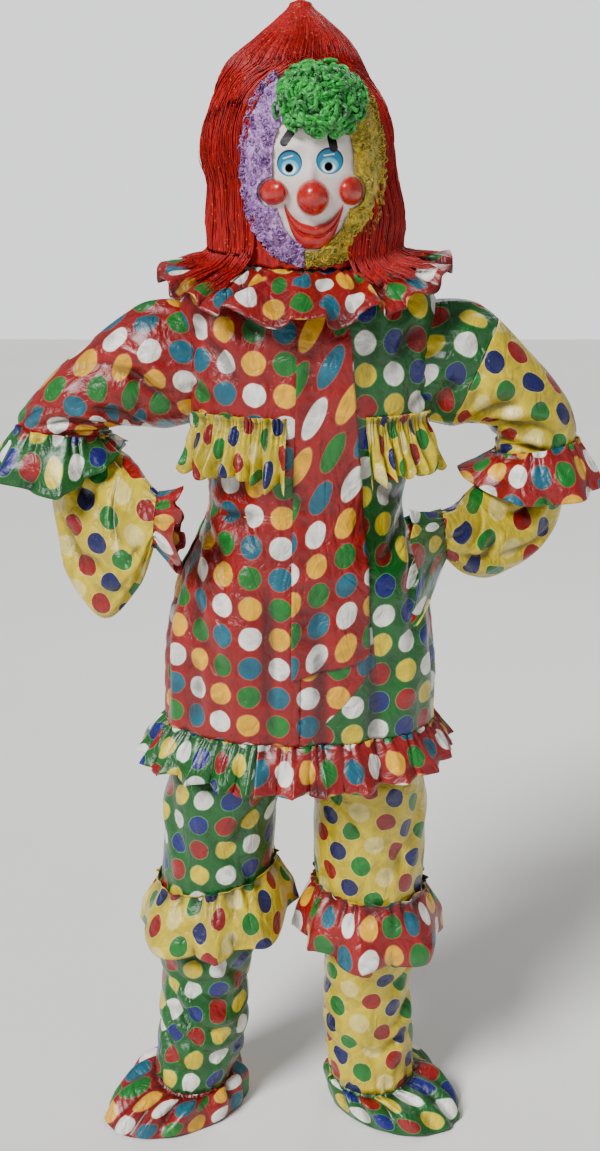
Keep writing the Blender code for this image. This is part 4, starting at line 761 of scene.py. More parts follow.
def dressFlap():
    share = linspace(0, 1, flapShape["columnCount"])
    foot = flapShape["footLeft"] + (flapShape["footRight"] - flapShape["footLeft"]) * share
    heights = foot + (flapShape["top"] - foot) * linspace(0, 1, flapShape["rowCount"])[:, None]
    _, leftX, rightX = tableAtKey(flapShape["edges"], heights)
    x = leftX + (rightX - leftX) * share
    turns = tunicTurn(x, heights)
    # its edges stand off a little, unevenly
    edge = bump(minimum(share, 1 - share), 0, 0.1)
    lift = 0.003 + 0.0022 * edge * (0.6 + 0.4 * sin(heights * 38 + share * 3))
    lift = lift + 0.0012 * unevenness(x, heights, 0.09, 11)
    points = tunicSurface(turns, heights) + outFrom(turns) * lift[..., None]
    # the print leans to the right and is narrow in the upper part, and is rounder low down
    across, up = x - 0.02, heights - 1.19
    upper = 1 / (1 + exp(-(heights - flapShape["roundHeight"]) / 0.04))
    printX = -(across - up * (0.1 + flapShape["lean"] * upper)) * 1.12
    uv = stack([printX, up * (0.9 - 0.17 * upper) - across * 0.34], axis=-1)
    addCloth("frontFlap", points, uv, flapSatin, "satin_red")


dressFlap()
print("flap made")

# ruffles


def ruffleGrid(base, out, fall, phase, size, height, rows=16, heading=0.006, headingRise=0.0, crimp=0.0014,
               seed=1, edgeWave=0.05, curl=0.35, closed=True):
    # each column runs from the seam down its fall and out; waves swing it out and along the seam, and grow
    # towards the free edge; small crimps sit at the stitches and fade below them
    length = np.linalg.norm(out + fall, axis=-1)
    outUnit = unit(out)
    beside = unit(np.roll(base, -1, axis=0) - np.roll(base, 1, axis=0) if closed
                  else np.gradient(base, axis=0))
    share = linspace(0, 1, rows)[:, None] ** 0.85
    start = heading / length
    spread = clip((share - start) / (1 - start), 0, 1)
    place = linspace(0, 1, len(base))
    longer = 1 + edgeWave * (sin(phase * 0.5 + seed) * sin(2 * pi * 3 * place)
                             + 0.6 * cos(phase + 0.8) * share)
    swing = cos(phase) * size * height * spread ** 0.9
    roll = -sin(2 * phase) * size * height * curl * spread
    stitches = cos(phase * 3 + 2 * sin(phase + seed)) * crimp
    tight = stitches * 1.5 * bump(share * length, 0, 0.034)
    ripple = 0.1 * height * sin(phase * 2.3 + seed + 3 * spread) * spread
    ripple = ripple + 0.0024 * unevenness(phase * 0.01, share * length, 0.055, 17) * spread
    points = (base + fall * (share * longer)[..., None] + out * (spread ** 0.8)[..., None]
              + outUnit * (swing + tight + ripple)[..., None] + beside * roll[..., None])
    if headingRise:
        # a short frill stands up above the seam
        steps = linspace(1, 0, 5, endpoint=False)[:, None]
        stand = 0.0035 * steps ** 1.2 * (1 + 0.9 * cos(phase * 2 + seed)) + stitches
        frill = base - unit(fall) * (headingRise * steps)[..., None] + outUnit * stand[..., None]
        points = concatenate([frill, points])
    return points


def ruffleUv(points, spot, closed=True):
    # across the cloth it is measured along the free edge, and down from the seam
    edge = points[-3]
    if closed:
        edge = np.vstack([edge, edge[:1]])
    down = runLength(points, 0).mean(axis=1)
    return stack(np.broadcast_arrays(runLength(edge, 0) - spot[0], -down[:, None] - spot[1]), axis=-1)


hemRuffle = {
    # turn, drop, flare
    "shape": [
        (-180, 0.066, 0.03), (-90, 0.06, 0.044), (-45, 0.064, 0.036), (0, 0.068, 0.032),
        (45, 0.062, 0.032), (90, 0.044, 0.03), (180, 0.066, 0.03)],
    "seamTurn": -17, "height": 0.009, "columnsPerWave": 18,
    "lengths": [
        ("hemRuffleLeft", -180, -17, 12, "satin_green", (0.02, -0.032), (0.8, 0.068)),
        ("hemRuffleRight", -17, 180, 14, "satin_red", (0.05, -0.036), (0.95, 0.068))],
}


def dressHem():
    for name, start, end, waves, slot, spot, flat in hemRuffle["lengths"]:
        columns, gap = waves * hemRuffle["columnsPerWave"] + 1, tunicShape["seamGap"]
        share = linspace(0, 1, columns)
        turn = radians(start) + gap + share * (radians(end - start) - 2 * gap)
        base = tunicSurface(turn, np.full(columns, tunicShape["bottom"])) - (0, 0, 0.0003)
        _, drop, flare = tableAtKey(hemRuffle["shape"], wrapped(turn))
        # the waves are smaller at the sides of the body
        size = waveSize(share, waves) * (1 - 0.6 * bump(np.abs(wrapped(turn)), 92, 28))
        points = ruffleGrid(base, outFrom(turn) * flare[:, None], downBy(drop),
                            wavePhase(waves, share, waves), size, hemRuffle["height"],
                            closed=False, seed=waves, crimp=0.0018, curl=0.5)
        addRuffle(name, points, ruffleUv(points, spot, closed=False), slot)


chestRuffle = {
    "seamHeight": 1.18, "waves": 7, "height": 0.0082, "flare": 0.016,
    # start x, end x, start drop, end drop, end flare, clearance
    "sides": [
        ("chestRuffleLeft", -0.018, -0.15, 0.092, 0.068, 0.022, 0.0016, (0.01, -0.05), (0.31, 0.095)),
        ("chestRuffleRight", 0.092, 0.18, 0.088, 0.066, 0.026, 0.0013, (0.058, -0.04), (0.28, 0.09))],
}


def dressChestRuffles():
    for name, startX, endX, startDrop, endDrop, endFlare, lift, spot, flat in chestRuffle["sides"]:
        share = linspace(0, 1, chestRuffle["waves"] * 20 + 1)
        height = np.full(len(share), chestRuffle["seamHeight"])
        turn = tunicTurn(startX + (endX - startX) * share, height)
        base = tunicSurface(turn, height) + outFrom(turn) * (lift + 0.0012)
        flare = chestRuffle["flare"] + (endFlare - chestRuffle["flare"]) * share
        drop = startDrop + (endDrop - startDrop) * share
        phase = wavePhase(chestRuffle["waves"], share, 5 + len(name))
        points = ruffleGrid(base, outFrom(turn) * flare[:, None], downBy(drop), phase, waveSize(share, 7),
                            chestRuffle["height"], headingRise=0.01, closed=False, seed=2.0, crimp=0.0016,
                            curl=0.05, edgeWave=0.16)
        addRuffle(name, points, ruffleUv(points, spot, closed=False), "satin_yellow",
                  flip=endX > 0)


collarRuffle = {
    # turn, reach, drop
    "shape": [
        (-180, 0.09, 0.062), (-90, 0.104, 0.02), (-45, 0.09, 0.048), (0, 0.078, 0.066), (45, 0.09, 0.044),
        (90, 0.108, 0.006), (180, 0.09, 0.062)],
    "waves": 16, "height": 0.0095, "columns": 416, "rows": 20, "flat": (1.38, 0.1),
}


def collarSurface(turn, share, waves):
    # the collar at a share of its reach from the neck seam; waves lift it
    base = tunicOutline(turn, neckHeight(turn) - 0.004)
    _, reach, drop = tableAtKey(collarRuffle["shape"], wrapped(turn))
    lift = 0.006 * sin(pi * clip(share, 0, 1) * 0.5) + waves * collarRuffle["height"] * clip(share, 0, 1)
    return base + outFrom(turn) * (reach * share + 0.0028)[..., None] + downBy(drop * share ** 1.3 - lift)


def dressCollar():
    turn = linspace(-pi, pi, collarRuffle["columns"], endpoint=False)
    place = (turn + pi) / (2 * pi)
    shift = turn * collarRuffle["waves"] + 0.5 * sin(2 * pi * place * 3) + 0.4 * sin(2 * pi * place * 5 + 1)
    share = linspace(0, 1, collarRuffle["rows"])[:, None]
    waves = cos(shift) * (0.85 + 0.15 * sin(turn * 5)) - 0.12
    points = collarSurface(*arrays(turn + sin(2 * shift) * 0.03 * share, share, waves))
    # stitches at the neck, broad crumples across the waves, narrow creases, and a ripple at the edge
    tight = cos(shift * 3 + 2 * sin(shift)) * 0.0022 * bump(share, 0, 0.3)
    crumple = sin(shift * 1.5 + 4 * share + 1) * sin(pi * share) * 0.0042
    narrow = np.abs(sin(shift * 0.5 + 2.2 * share + 0.6)) ** 6 * sin(pi * clip(share * 1.2, 0, 1)) * 0.005
    points[..., 2] += tight + crumple - narrow + 0.003 * sin(shift * 2.3 + share * 5) * share
    addRuffle("collarRuffle", points, ruffleUv(points, (0.02, -0.03)), "satin_red",
              closed=True)


dressHem()
dressChestRuffles()
dressCollar()
print("tunic ruffles made")

# sleeves

leftLowerSleeve = {
    "rows": [
        (-0.4205, 1.1464, -0.2925, 1.1374, 0.03, 0.059), (-0.384, 1.085, -0.28, 1.122, 0.027, 0.05),
        (-0.372, 1.01, -0.262, 1.112, 0.014, 0.05), (-0.352, 0.925, -0.248, 1.104, -0.008, 0.052),
        (-0.298, 0.874, -0.236, 1.098, -0.036, 0.052), (-0.242, 0.925, -0.224, 1.088, -0.06, 0.044),
        (-0.214, 0.994, -0.206, 1.074, -0.08, 0.033)],
    "creases": [
        (0.6, 60, 2.6, 110, 2, 2.0, -0.0036), (1.6, 30, 3.6, 80, 2, 2.2, -0.004),
        (2.6, 140, 4.6, 90, 2, 2.0, -0.004), (3.0, 60, 5.4, 80, -2, 2.0, -0.004),
        (4.0, 20, 5.8, 70, 2, 2.0, -0.0036), (1.0, 150, 3.0, 160, 1, 1.8, -0.003),
        (1.0, 250, 3.2, 300, 2, 2.2, -0.004), (2.6, 220, 5.0, 280, 2, 2.2, -0.004),
        (3.6, 320, 5.6, 290, 2, 2.0, -0.0036), (2.2, 48, 4.8, 60, 1, 2.6, -0.006),
        (0.4, 100, 2.2, 70, 1, 2.4, -0.005), (0.3, 60, 1.6, 120, 1, 2.2, -0.0048)],
    "flat": (0.48, 0.3), "area": 0.115,
}
rightLowerSleeve = {
    "rows": [
        (0.4135, 1.1228, 0.3005, 1.1088, 0.03, 0.059), (0.402, 1.048, 0.288, 1.088, 0.026, 0.052),
        (0.382, 0.992, 0.27, 1.07, 0.01, 0.052), (0.336, 0.955, 0.25, 1.06, -0.018, 0.052),
        (0.286, 0.942, 0.238, 1.056, -0.046, 0.048), (0.246, 0.952, 0.224, 1.054, -0.076, 0.041),
        (0.212, 0.983, 0.204, 1.052, -0.1, 0.032)],
    "creases": [
        (0.6, 60, 2.6, 120, 2, 2.0, -0.0034), (1.6, 30, 3.6, 80, 2, 2.0, -0.0036),
        (2.8, 140, 4.8, 90, 2, 1.8, -0.0036), (3.2, 60, 5.6, 70, -2, 1.8, -0.0036),
        (4.4, 120, 5.9, 100, 1, 1.6, -0.0032), (1.0, 250, 3.2, 300, 2, 2.2, -0.0038),
        (2.6, 220, 5.0, 280, 2, 2.0, -0.0038), (3.6, 320, 5.6, 290, 2, 1.8, -0.0034),
        (0.4, 100, 2.4, 75, 1, 2.4, -0.0046), (3.0, 95, 5.0, 60, 1, 2.2, -0.0044)],
    "flat": (0.42, 0.26), "area": 0.085,
}


def tubeUv(points, spot):
    # round the tube from its first column, and along it
    around = runLength(concatenate([points, points[:, :1]], axis=1), 1)
    middle = around[:, [points.shape[1] // 2]] - around[:, -1].mean() / 2
    return stack(arrays(around - middle - spot[0], runLength(points, 0).mean(axis=1)[:, None] - spot[1]),
                 axis=-1)


def bentUv(points, spot):
    # a bent sleeve is cut in a front and a back half: each section lies flat across the line of its
    # middles, and cloth is measured from that line to the outer edge (half of the columns) and to the
    # inner edge (the first)
    ring = concatenate([points, points[:, :1]], axis=1)
    around = runLength(ring, 1)
    half = points.shape[1] // 2
    front, outer, whole = around[:, [half + half // 2]], around[:, [half]], around[:, [-1]]
    reach = np.where(around >= outer, around - front,
                     outer - front + (outer - around) * (whole - outer) / outer)
    edges = ring[:, [half, 0]][..., [0, 2]]
    across = edges[:, 1] - edges[:, 0]
    across = across / np.linalg.norm(across, axis=-1, keepdims=True)
    return edges.mean(axis=1)[:, None] + across[:, None] * reach[..., None] - spot


def dressSleeves():
    whole = linspace(0, 6, 84)[:, None]
    turns = ringTurns(pi, sleeveColumns)
    seam = (rightSleeve["seamInner"]
            + (rightSleeve["seamOuter"] - rightSleeve["seamInner"]) * (1 + cos(turns)) / 2)
    gap = 0.004
    upper = linspace(0, 1, 34)[:, None] * (seam - gap)
    lower = seam + gap + linspace(0, 1, 66)[:, None] * (6 - seam - gap)
    for name, sleeve, along, seed, seams, part, slot, spot, restsOn in (
            ("sleeveLeft", leftSleeve, whole, 1, (True, True), "whole", "satin_red", (0.012, 0.02),
             "tunicFrontLeft"),
            ("sleeveRight", rightSleeve, upper, 2, (True, False), "upper", "satin_green",
             (0.03, 0.01), "tunicFrontRight"),
            ("sleeveRightBand", rightSleeve, lower, 3, (False, True), "band", "satin_yellow",
             (0.004, 0.016), "sleeveRight")):
        points = sleeveGrid(sleeve, sleeveFolds, along, seed, *seams)
        addCloth(name, points, tubeUv(points, spot), satins[slot], slot,
                 closed=True, flip=part == "whole")
    for name, shape, spot in (("lowerSleeveLeft", leftLowerSleeve, (0.0, 0.012)),
                              ("lowerSleeveRight", rightLowerSleeve, (0.02, 0.0))):
        points = sleeveGrid(shape, lowerFolds, linspace(0, 6, 80)[:, None], 4)
        addCloth(name, points, bentUv(points, spot), yellowSatin, "satin_yellow",
                 closed=True, flip=shape is leftLowerSleeve)


elbowRuffles = {
    "seamAt": 5.55, "lean": 0.1, "columns": 240,
    # turn from the outer edge, drop, flare, share of the waves
    "left": [
        (0, 0.058, 0.03, 1.0), (90, 0.084, 0.034, 1.0), (140, 0.038, 0.033, 0.5),
        (180, 0.014, 0.024, 0.25), (220, 0.04, 0.031, 0.6), (270, 0.072, 0.032, 1.0),
        (360, 0.058, 0.03, 1.0)],
    "right": [
        (0, 0.07, 0.03, 1.0), (90, 0.078, 0.036, 1.0), (140, 0.056, 0.048, 0.7), (180, 0.026, 0.056, 0.35),
        (220, 0.046, 0.042, 0.7), (270, 0.07, 0.032, 1.0), (360, 0.07, 0.03, 1.0)],
    "pieces": [
        ("elbowRuffleLeft", "left", 1, "satin_green", 8, 0.0105, (0.03, -0.04), (0.7, 0.072)),
        ("elbowRuffleRight", "right", -1, "satin_red", 7, 0.008, (0.01, -0.036), (0.68, 0.076))],
}
wristFrills = {
    "columns": 154, "waves": 7, "flare": 0.008, "frontFlare": 0.012, "sag": 0.25,
    # side, length, droop, forward, then the waves' height and where a spot lies
    "pieces": [
        ("wristFrillLeft", leftLowerSleeve, 1, 0.034, 0.02, 0.012, "satin_red", 0.0062, (0.0, -0.016),
         (0.36, 0.045)),
        ("wristFrillRight", rightLowerSleeve, -1, 0.046, 0.085, 0.044, "satin_green", 0.0085, (0.02, -0.03),
         (0.46, 0.07))],
}


def seatedOut(ring, axis):
    # directions from the middle of a ring to its points, with nothing along one axis
    out = ring - ring.mean(axis=0)
    out[:, axis] = 0
    return unit(out)


def dressElbows():
    for name, shape, side, slot, waves, height, spot, flat in elbowRuffles["pieces"]:
        sleeve = leftSleeve if side > 0 else rightSleeve
        columns = elbowRuffles["columns"]
        turn, place = ringTurns(1.5 * pi, columns), arange(columns) / columns
        ring = sleeveOutline(sleeve["rows"], sleeveFolds, turn, np.full(columns, elbowRuffles["seamAt"]))
        out = seatedOut(ring, 2)
        _, drop, flare, share = tableAtKey(elbowRuffles[shape], np.degrees(turn))
        fall = downBy(drop)
        fall[:, 0] = -side * drop * elbowRuffles["lean"]
        points = ruffleGrid(ring + out * 0.0034, out * flare[:, None], fall,
                            wavePhase(waves, place, 21 + side),
                            waveSize(place, 31) * share, height, seed=3.0 + side, crimp=0.0018, curl=0.45)
        addRuffle(name, points, ruffleUv(points, spot), slot, closed=True, flip=side > 0)


def dressWrists():
    for name, lower, side, length, droop, forward, slot, height, spot, flat in wristFrills["pieces"]:
        columns = wristFrills["columns"]
        turn, place = ringTurns(1.5 * pi, columns), arange(columns) / columns
        base = sleeveOutline(lower["rows"], lowerFolds, turn, np.full(columns, 6.0))
        base[:, 0] += side * 0.0008
        out = seatedOut(base, 0)
        low, away = (1 + cos(turn)) / 2, clip(-out[:, 1], 0, 1)
        flare = (wristFrills["flare"] + wristFrills["frontFlare"] * away
                 + droop * low ** 2 * (0.35 + 0.65 * away))
        fall = downBy(wristFrills["sag"] * droop * low) + (side * length, -forward, 0)
        points = ruffleGrid(base, out * flare[:, None], fall,
                            wavePhase(wristFrills["waves"], place, 41 + side), waveSize(place, 43),
                            height, rows=14, seed=5.0 + side, crimp=0.0012, curl=0.4, edgeWave=0.2)
        addRuffle(name, points, ruffleUv(points, spot), slot, closed=True,
                  flip=side > 0)


dressSleeves()
dressElbows()
dressWrists()
print("sleeves made")

# trousers

leftLeg = {
    # height, outer x, inner x, centre y, half depth
    "rows": [
        (0.08, -0.244, -0.118, -0.006, 0.066), (0.104, -0.2418, -0.1005, -0.002, 0.068),
        (0.143, -0.2345, -0.0898, 0.0, 0.07), (0.22, -0.2334, -0.089, 0.0, 0.074),
        (0.296, -0.233, -0.076, 0.0, 0.082), (0.407, -0.2265, -0.0525, 0.0, 0.094),
        (0.479, -0.2196, -0.0423, 0.0, 0.1), (0.55, -0.219, -0.0371, 0.0, 0.106),
        (0.61, -0.206, -0.02, 0.002, 0.114)],
    # degrees round from the front towards the outer side, height, at both ends, bow, width, depth
    "creases": [
        (50, 0.29, -70, 0.2, 1.6, 2.4, -0.0052), (60, 0.25, -60, 0.145, 1.8, 2.4, -0.0056),
        (60, 0.2, -40, 0.115, 1.2, 2.0, -0.0046), (-10, 0.34, -80, 0.24, 1.2, 2.2, -0.0046),
        (40, 0.34, -30, 0.3, 0.8, 2.2, -0.0036), (70, 0.16, 0, 0.09, 0.8, 1.8, -0.004),
        (-60, 0.62, -20, 0.5, 1.0, 2.4, -0.0036), (60, 0.6, 30, 0.47, 1.0, 2.4, -0.0036),
        (10, 0.56, -50, 0.45, 0.8, 2.2, -0.003), (120, 0.28, 220, 0.2, 1.6, 2.4, -0.0052),
        (110, 0.22, 230, 0.14, 1.8, 2.4, -0.0052), (130, 0.34, 200, 0.28, 1.2, 2.2, -0.004),
        (120, 0.58, 180, 0.47, 1.0, 2.4, -0.0036), (220, 0.6, 180, 0.5, 1.0, 2.4, -0.0034)],
    "flat": (0.64, 1.02), "area": 0.5,
}
rightLeg = {
    "rows": [
        (0.08, 0.1916, 0.0513, -0.006, 0.066), (0.104, 0.1907, 0.0477, -0.002, 0.068),
        (0.143, 0.1864, 0.0424, 0.0, 0.07), (0.22, 0.1847, 0.042, 0.0, 0.074),
        (0.296, 0.196, 0.0416, 0.0, 0.082), (0.407, 0.1986, 0.0295, 0.0, 0.094),
        (0.479, 0.2017, 0.0228, 0.0, 0.1), (0.55, 0.2031, 0.0226, 0.0, 0.106),
        (0.61, 0.196, 0.014, 0.002, 0.114)],
    "creases": [
        (60, 0.17, -20, 0.12, 1.2, 2.2, -0.005), (75, 0.21, 10, 0.165, 1.0, 2.0, -0.0044),
        (-60, 0.16, 20, 0.095, 1.0, 2.0, -0.004), (-70, 0.3, 0, 0.255, 1.0, 2.2, -0.0036),
        (70, 0.31, 20, 0.23, 1.2, 2.2, -0.0036), (-50, 0.6, -10, 0.48, 1.0, 2.4, -0.0036),
        (60, 0.6, 20, 0.46, 1.0, 2.4, -0.0038), (0, 0.57, 40, 0.45, 0.8, 2.2, -0.003),
        (120, 0.28, 220, 0.2, 1.6, 2.4, -0.005), (110, 0.2, 230, 0.13, 1.8, 2.4, -0.005),
        (130, 0.34, 200, 0.28, 1.2, 2.2, -0.004), (120, 0.58, 180, 0.47, 1.0, 2.4, -0.0036)],
    "flat": (0.63, 1.02), "area": 0.495,
}
# height, its spread, degrees round, their spread, reach outwards
legFolds = [
    (0.17, 0.03, -20, 60, 0.007), (0.24, 0.035, 60, 60, -0.007), (0.3, 0.03, -30, 55, 0.006),
    (0.51, 0.04, 30, 50, -0.006), (0.2, 0.035, 180, 60, 0.007), (0.52, 0.05, 170, 50, -0.006)]
trouserTop = {
    "hips": [
        (0.655, 0.196, 0.118, 0.122), (0.74, 0.184, 0.112, 0.122), (0.86, 0.172, 0.107, 0.119),
        (1.0, 0.146, 0.106, 0.112)],
    "waist": (1.034, 1.056), "waistClear": 0.0036, "hemDrop": 0.03, "columns": 96, "outerShare": 11 / 16,
    "hem": 0.08, "crotch": 0.61, "legRows": 92, "seatRows": 46,
}


def legOutline(rows, turn, height):
    # an oval at each height; the turn is 0 at the front and 90 on the outer side
    turn, height = arrays(turn, height)
    _, outerX, innerX, centreY, halfDepth = tableAtKey(rows, height)
    push = sum(out * turnBump(turn, middle, spread) * bump(height, at, wide)
               for at, wide, middle, spread, out in legFolds)
    scale = 1 + push / halfDepth
    x = (outerX + innerX) / 2 + (outerX - innerX) / 2 * sin(turn) * scale
    return stack([x, centreY - halfDepth * cos(turn) * scale, height], axis=-1)


def legCloth(leg, turn, height):
    # the outline with its creases, which lie mostly over the foot and under the knee
    points = legOutline(leg["rows"], turn, height)
    out = points - points.mean(axis=1, keepdims=True)
    out[..., 2] = 0
    degrees, scale = np.degrees(turn), 0.0015
    creases = [(a * scale, b, c * scale, d, bow * 0.012, width * 0.0048, depth)
               for a, b, c, d, bow, width, depth in leg["creases"]]
    push = creaseField(np.where(degrees > 270, degrees - 360, degrees) * scale, height, creases)
    push = push + 0.001 * sin(3 * turn + height * 40) * sin(height * 23 + 1)
    # rolls of loose cloth lie round the shin
    roll = np.abs(sin((height - 0.06) * 2 * pi / 0.105 + 0.9 * sin(turn + 0.6) + 0.5 * sin(2 * turn)))
    onShin = clip((0.33 - height) / 0.1, 0, 1) * clip((height - 0.085) / 0.03, 0, 1)
    push = push + 0.007 * (roll ** 0.6 - 0.75) * onShin + 0.0006 * sin(5 * turn - height * 90)
    # it is gathered at the hem and above and below the knee's flounce
    gather = cos(turn * 22 + 2.5 * sin(turn * 3)) * (0.7 + 0.3 * sin(turn * 7))
    push = push + gather * (0.0026 * bump(height, 0.08, 0.04) + 0.002 * bump(height, 0.445, 0.035)
                            + 0.0016 * bump(height, 0.345, 0.025))
    return points + unit(out) * push[..., None]


def seatGrid(top, side):
    # half of the seat, an open strip from the front seam round to the back seam: it starts at the leg's top,
    # passes through an oval at each height of the hips, and follows the inside of the tunic at the waist
    half = linspace(0, pi, len(top))
    ring, knots = [top], [trouserTop["crotch"]]
    for height, halfWidth, front, back in trouserTop["hips"]:
        clear = 0.0018 if len(ring) == 1 else 0.0002
        x = clear + (halfWidth - clear) * sin(half)
        ring.append(stack(arrays(side * x, -np.where(cos(half) > 0, front, back) * cos(half), height),
                          axis=-1))
        knots.append(height)
    for height in trouserTop["waist"]:
        front = tunicTurn(side * 0.00015, height)
        around = front + half / pi * (side * pi - 2 * front)
        seat = tunicOutline(around, height) - outFrom(around) * (solidWall + trouserTop["waistClear"])
        seat[0, 0] = seat[-1, 0] = side * 0.0002
        ring.append(seat)
        knots.append(height)
    rows = trouserTop["seatRows"]
    fine = np.interp(linspace(knots[0], knots[-1], rows), knots, range(len(knots)))
    points = np.moveaxis(tableAt(np.reshape(ring, (len(ring), -1)), fine), 0, -1).reshape(rows, len(top), 3)
    pucker = clip((points[..., 2] - 0.94) / 0.1, 0, 1) * 0.0014 * cos(half * 22 + 2 * sin(half * 3))
    points[:-1, 2:-2] -= (side * sideways(points) * pucker[..., None])[:-1, 2:-2]
    return points


def dressTrousers():
    columns, legRows, hem = trouserTop["columns"], trouserTop["legRows"], trouserTop["hem"]
    outer = round(columns * trouserTop["outerShare"]) + 1
    start = radians(-38)
    span = pi - 2 * start
    for name, leg, side, slot, spot in (
            ("trousersLeft", leftLeg, -1, "satin_green", (0.012, 0.6)),
            ("trousersRight", rightLeg, 1, "satin_yellow", (0.0, 0.62))):
        inner = linspace(span, 2 * pi, columns - outer + 2)[1:-1]
        turns = start + concatenate([linspace(0, span, outer), inner])
        heights = linspace(hem, trouserTop["crotch"], legRows)[:, None] + 0 * turns
        rows = legCloth(leg, turns + 0 * heights, heights)
        dip = trouserTop["hemDrop"] * (1 + cos(turns)) / 2
        rows[..., 2] -= dip * clip(1 - (heights - hem) / 0.05, 0, 1)
        seat = seatGrid(rows[-1, :outer], side)[1:]
        full = concatenate([rows, np.repeat(seat[:, -1:], columns, axis=1)])
        full[legRows:, :outer] = seat
        # the grid is opened again on the inner side, so that the print runs on unbroken across the front
        inside = int(np.sum(turns > 1.5 * pi))
        full, turns = np.roll(full, inside, axis=1), np.roll(turns, inside)
        around = runLength(concatenate([full, full[:, :1]], axis=1), 1)
        front = np.argmin(np.abs(turns))
        # on the left leg the cloth's measure runs from the front the other way
        uv = stack(arrays(around - around[:, [front]] - side * spot[0], full[:, [front], 2] - spot[1]),
                   axis=-1)
        mesh = gridMesh(name, full, uv, closed=True, flip=side < 0)
        # faces above the leg's inner side, where there is no cloth, are taken out
        work = bmesh.new()
        work.from_mesh(mesh)
        outerFaces = range(inside, inside + outer - 1)
        unwanted = [face for face in work.faces if face.calc_area() < 1e-12 or
                    (face.index // columns >= legRows - 1 and face.index % columns not in outerFaces)]
        bmesh.ops.delete(work, geom=unwanted, context="FACES")
        work.to_mesh(mesh)
        work.free()
        makeSheet(addPiece(name, mesh, legSatin if side < 0 else yellowSatin, slot))


kneeRuffles = {
    "columns": 216, "flare": 0.024, "frontFlare": 0.016, "frontDrop": 0.012,
    # side, height, tilt, drop, then the waves' height, where a spot lies and the flat size
    "pieces": [
        ("kneeRuffleLeft", leftLeg, -1, 0.432, 0.018, 0.082, "satin_yellow", 0.0095, (0.03, -0.04),
         (0.92, 0.1)),
        ("kneeRuffleRight", rightLeg, 1, 0.412, 0.004, 0.08, "satin_red", 0.0095, (0.01, -0.036),
         (0.9, 0.1))],
}
ankleRuffles = {
    "columns": 208, "waves": 13, "height": 0.008,
    # centre x, centre y, half length, half width, toe x, toe y
    "pieces": [
        ("ankleRuffleLeft", leftLeg, -1, (-0.208, -0.026, 0.134, 0.09, -0.86, -0.5), "satin_red",
         (0.02, -0.03), (0.78, 0.12), 0.06),
        ("ankleRuffleRight", rightLeg, 1, (0.16, -0.018, 0.124, 0.092, 0.82, -0.57), "satin_green",
         (0.04, -0.02), (0.76, 0.12), 0.06)],
}


def dressKnees():
    columns = kneeRuffles["columns"]
    turn, place = ringTurns(pi, columns), arange(columns) / columns
    for name, leg, side, height, tilt, drop, slot, waveHeight, spot, flat in kneeRuffles["pieces"]:
        out = outFrom(turn) * (side, 1, 1)
        base = legOutline(leg["rows"], turn, height - tilt * sin(turn)) + out * 0.0036
        flare = kneeRuffles["flare"] + kneeRuffles["frontFlare"] * (1 + cos(turn)) / 4
        points = ruffleGrid(base, out * flare[:, None], downBy(drop + kneeRuffles["frontDrop"] * cos(turn)),
                            wavePhase(8, place, 61 + side), waveSize(place, 63), waveHeight, rows=20,
                            seed=7.0 + side, crimp=0.002, headingRise=0.006, curl=0.4)
        # the flounce is full in its middle, as cloth that is cut wide and pressed in at its edge
        rows = len(points)
        full = sin(pi * clip((arange(rows) - 5) / (rows - 6), 0, 1))[:, None, None]
        points = points + out * full * 0.007
        addRuffle(name, points, ruffleUv(points, spot), slot, closed=True,
                  flip=side > 0)


def dressAnkles():
    columns = ankleRuffles["columns"]
    turn, place = ringTurns(pi, columns), arange(columns) / columns
    share = linspace(0, 1, 30)[:, None]
    for name, leg, side, foot, slot, spot, flat, area in ankleRuffles["pieces"]:
        top = legOutline(leg["rows"], turn, trouserTop["hem"])
        top[:, 2] = trouserTop["hem"] - trouserTop["hemDrop"] * (1 + cos(turn)) / 2 - 0.0009
        heading = top - (0, 0, 0.006)
        # on the floor its edge is an oval round the foot, longer towards the toe
        centreX, centreY, halfLength, halfWidth, toeX, toeY = foot
        centre, toe, across = np.array([centreX, centreY]), np.array([toeX, toeY]), np.array([-toeY, toeX])
        facing = (outFrom(turn) * (side, 1, 1))[:, :2]
        floor = (centre + (facing @ toe * halfLength)[:, None] * toe
                 + (facing @ across * halfWidth)[:, None] * across)
        level = heading[:, :2] + (floor - heading[:, :2]) * (share ** 0.85)[..., None]
        swell = (1 - 0.045 * share + 0.03 * sin(pi * share))[..., None]
        level = centre + (level - centre) * swell
        phase = wavePhase(ankleRuffles["waves"], place, 81 + side)
        size = waveSize(place, 83 + side)
        low = 0.0035 + 0.0025 * cos(phase)
        height = low + (heading[:, 2] - low) * (1 - share ** 1.9)
        gather = cos(phase) * size * ankleRuffles["height"] * (0.75 * sin(pi * share ** 0.7) + 0.3 * share)
        gather = gather + cos(phase * 3 + 2 * sin(phase)) * 0.0016 * bump(share, 0, 0.2)
        gather = gather + 0.0022 * sin(phase * 0.5 + 7 * share) * sin(pi * share)
        level = level + unit(level - centre) * gather[..., None]
        height = maximum(height + 0.35 * gather * (1 - share), 0.0008)
        grid = concatenate([top[None], concatenate([level, height[..., None]], axis=-1)])
        addRuffle(name, grid, ruffleUv(grid, spot), slot, closed=True, flip=side > 0)


dressTrousers()
dressKnees()
dressAnkles()
print("trousers made")

# hood

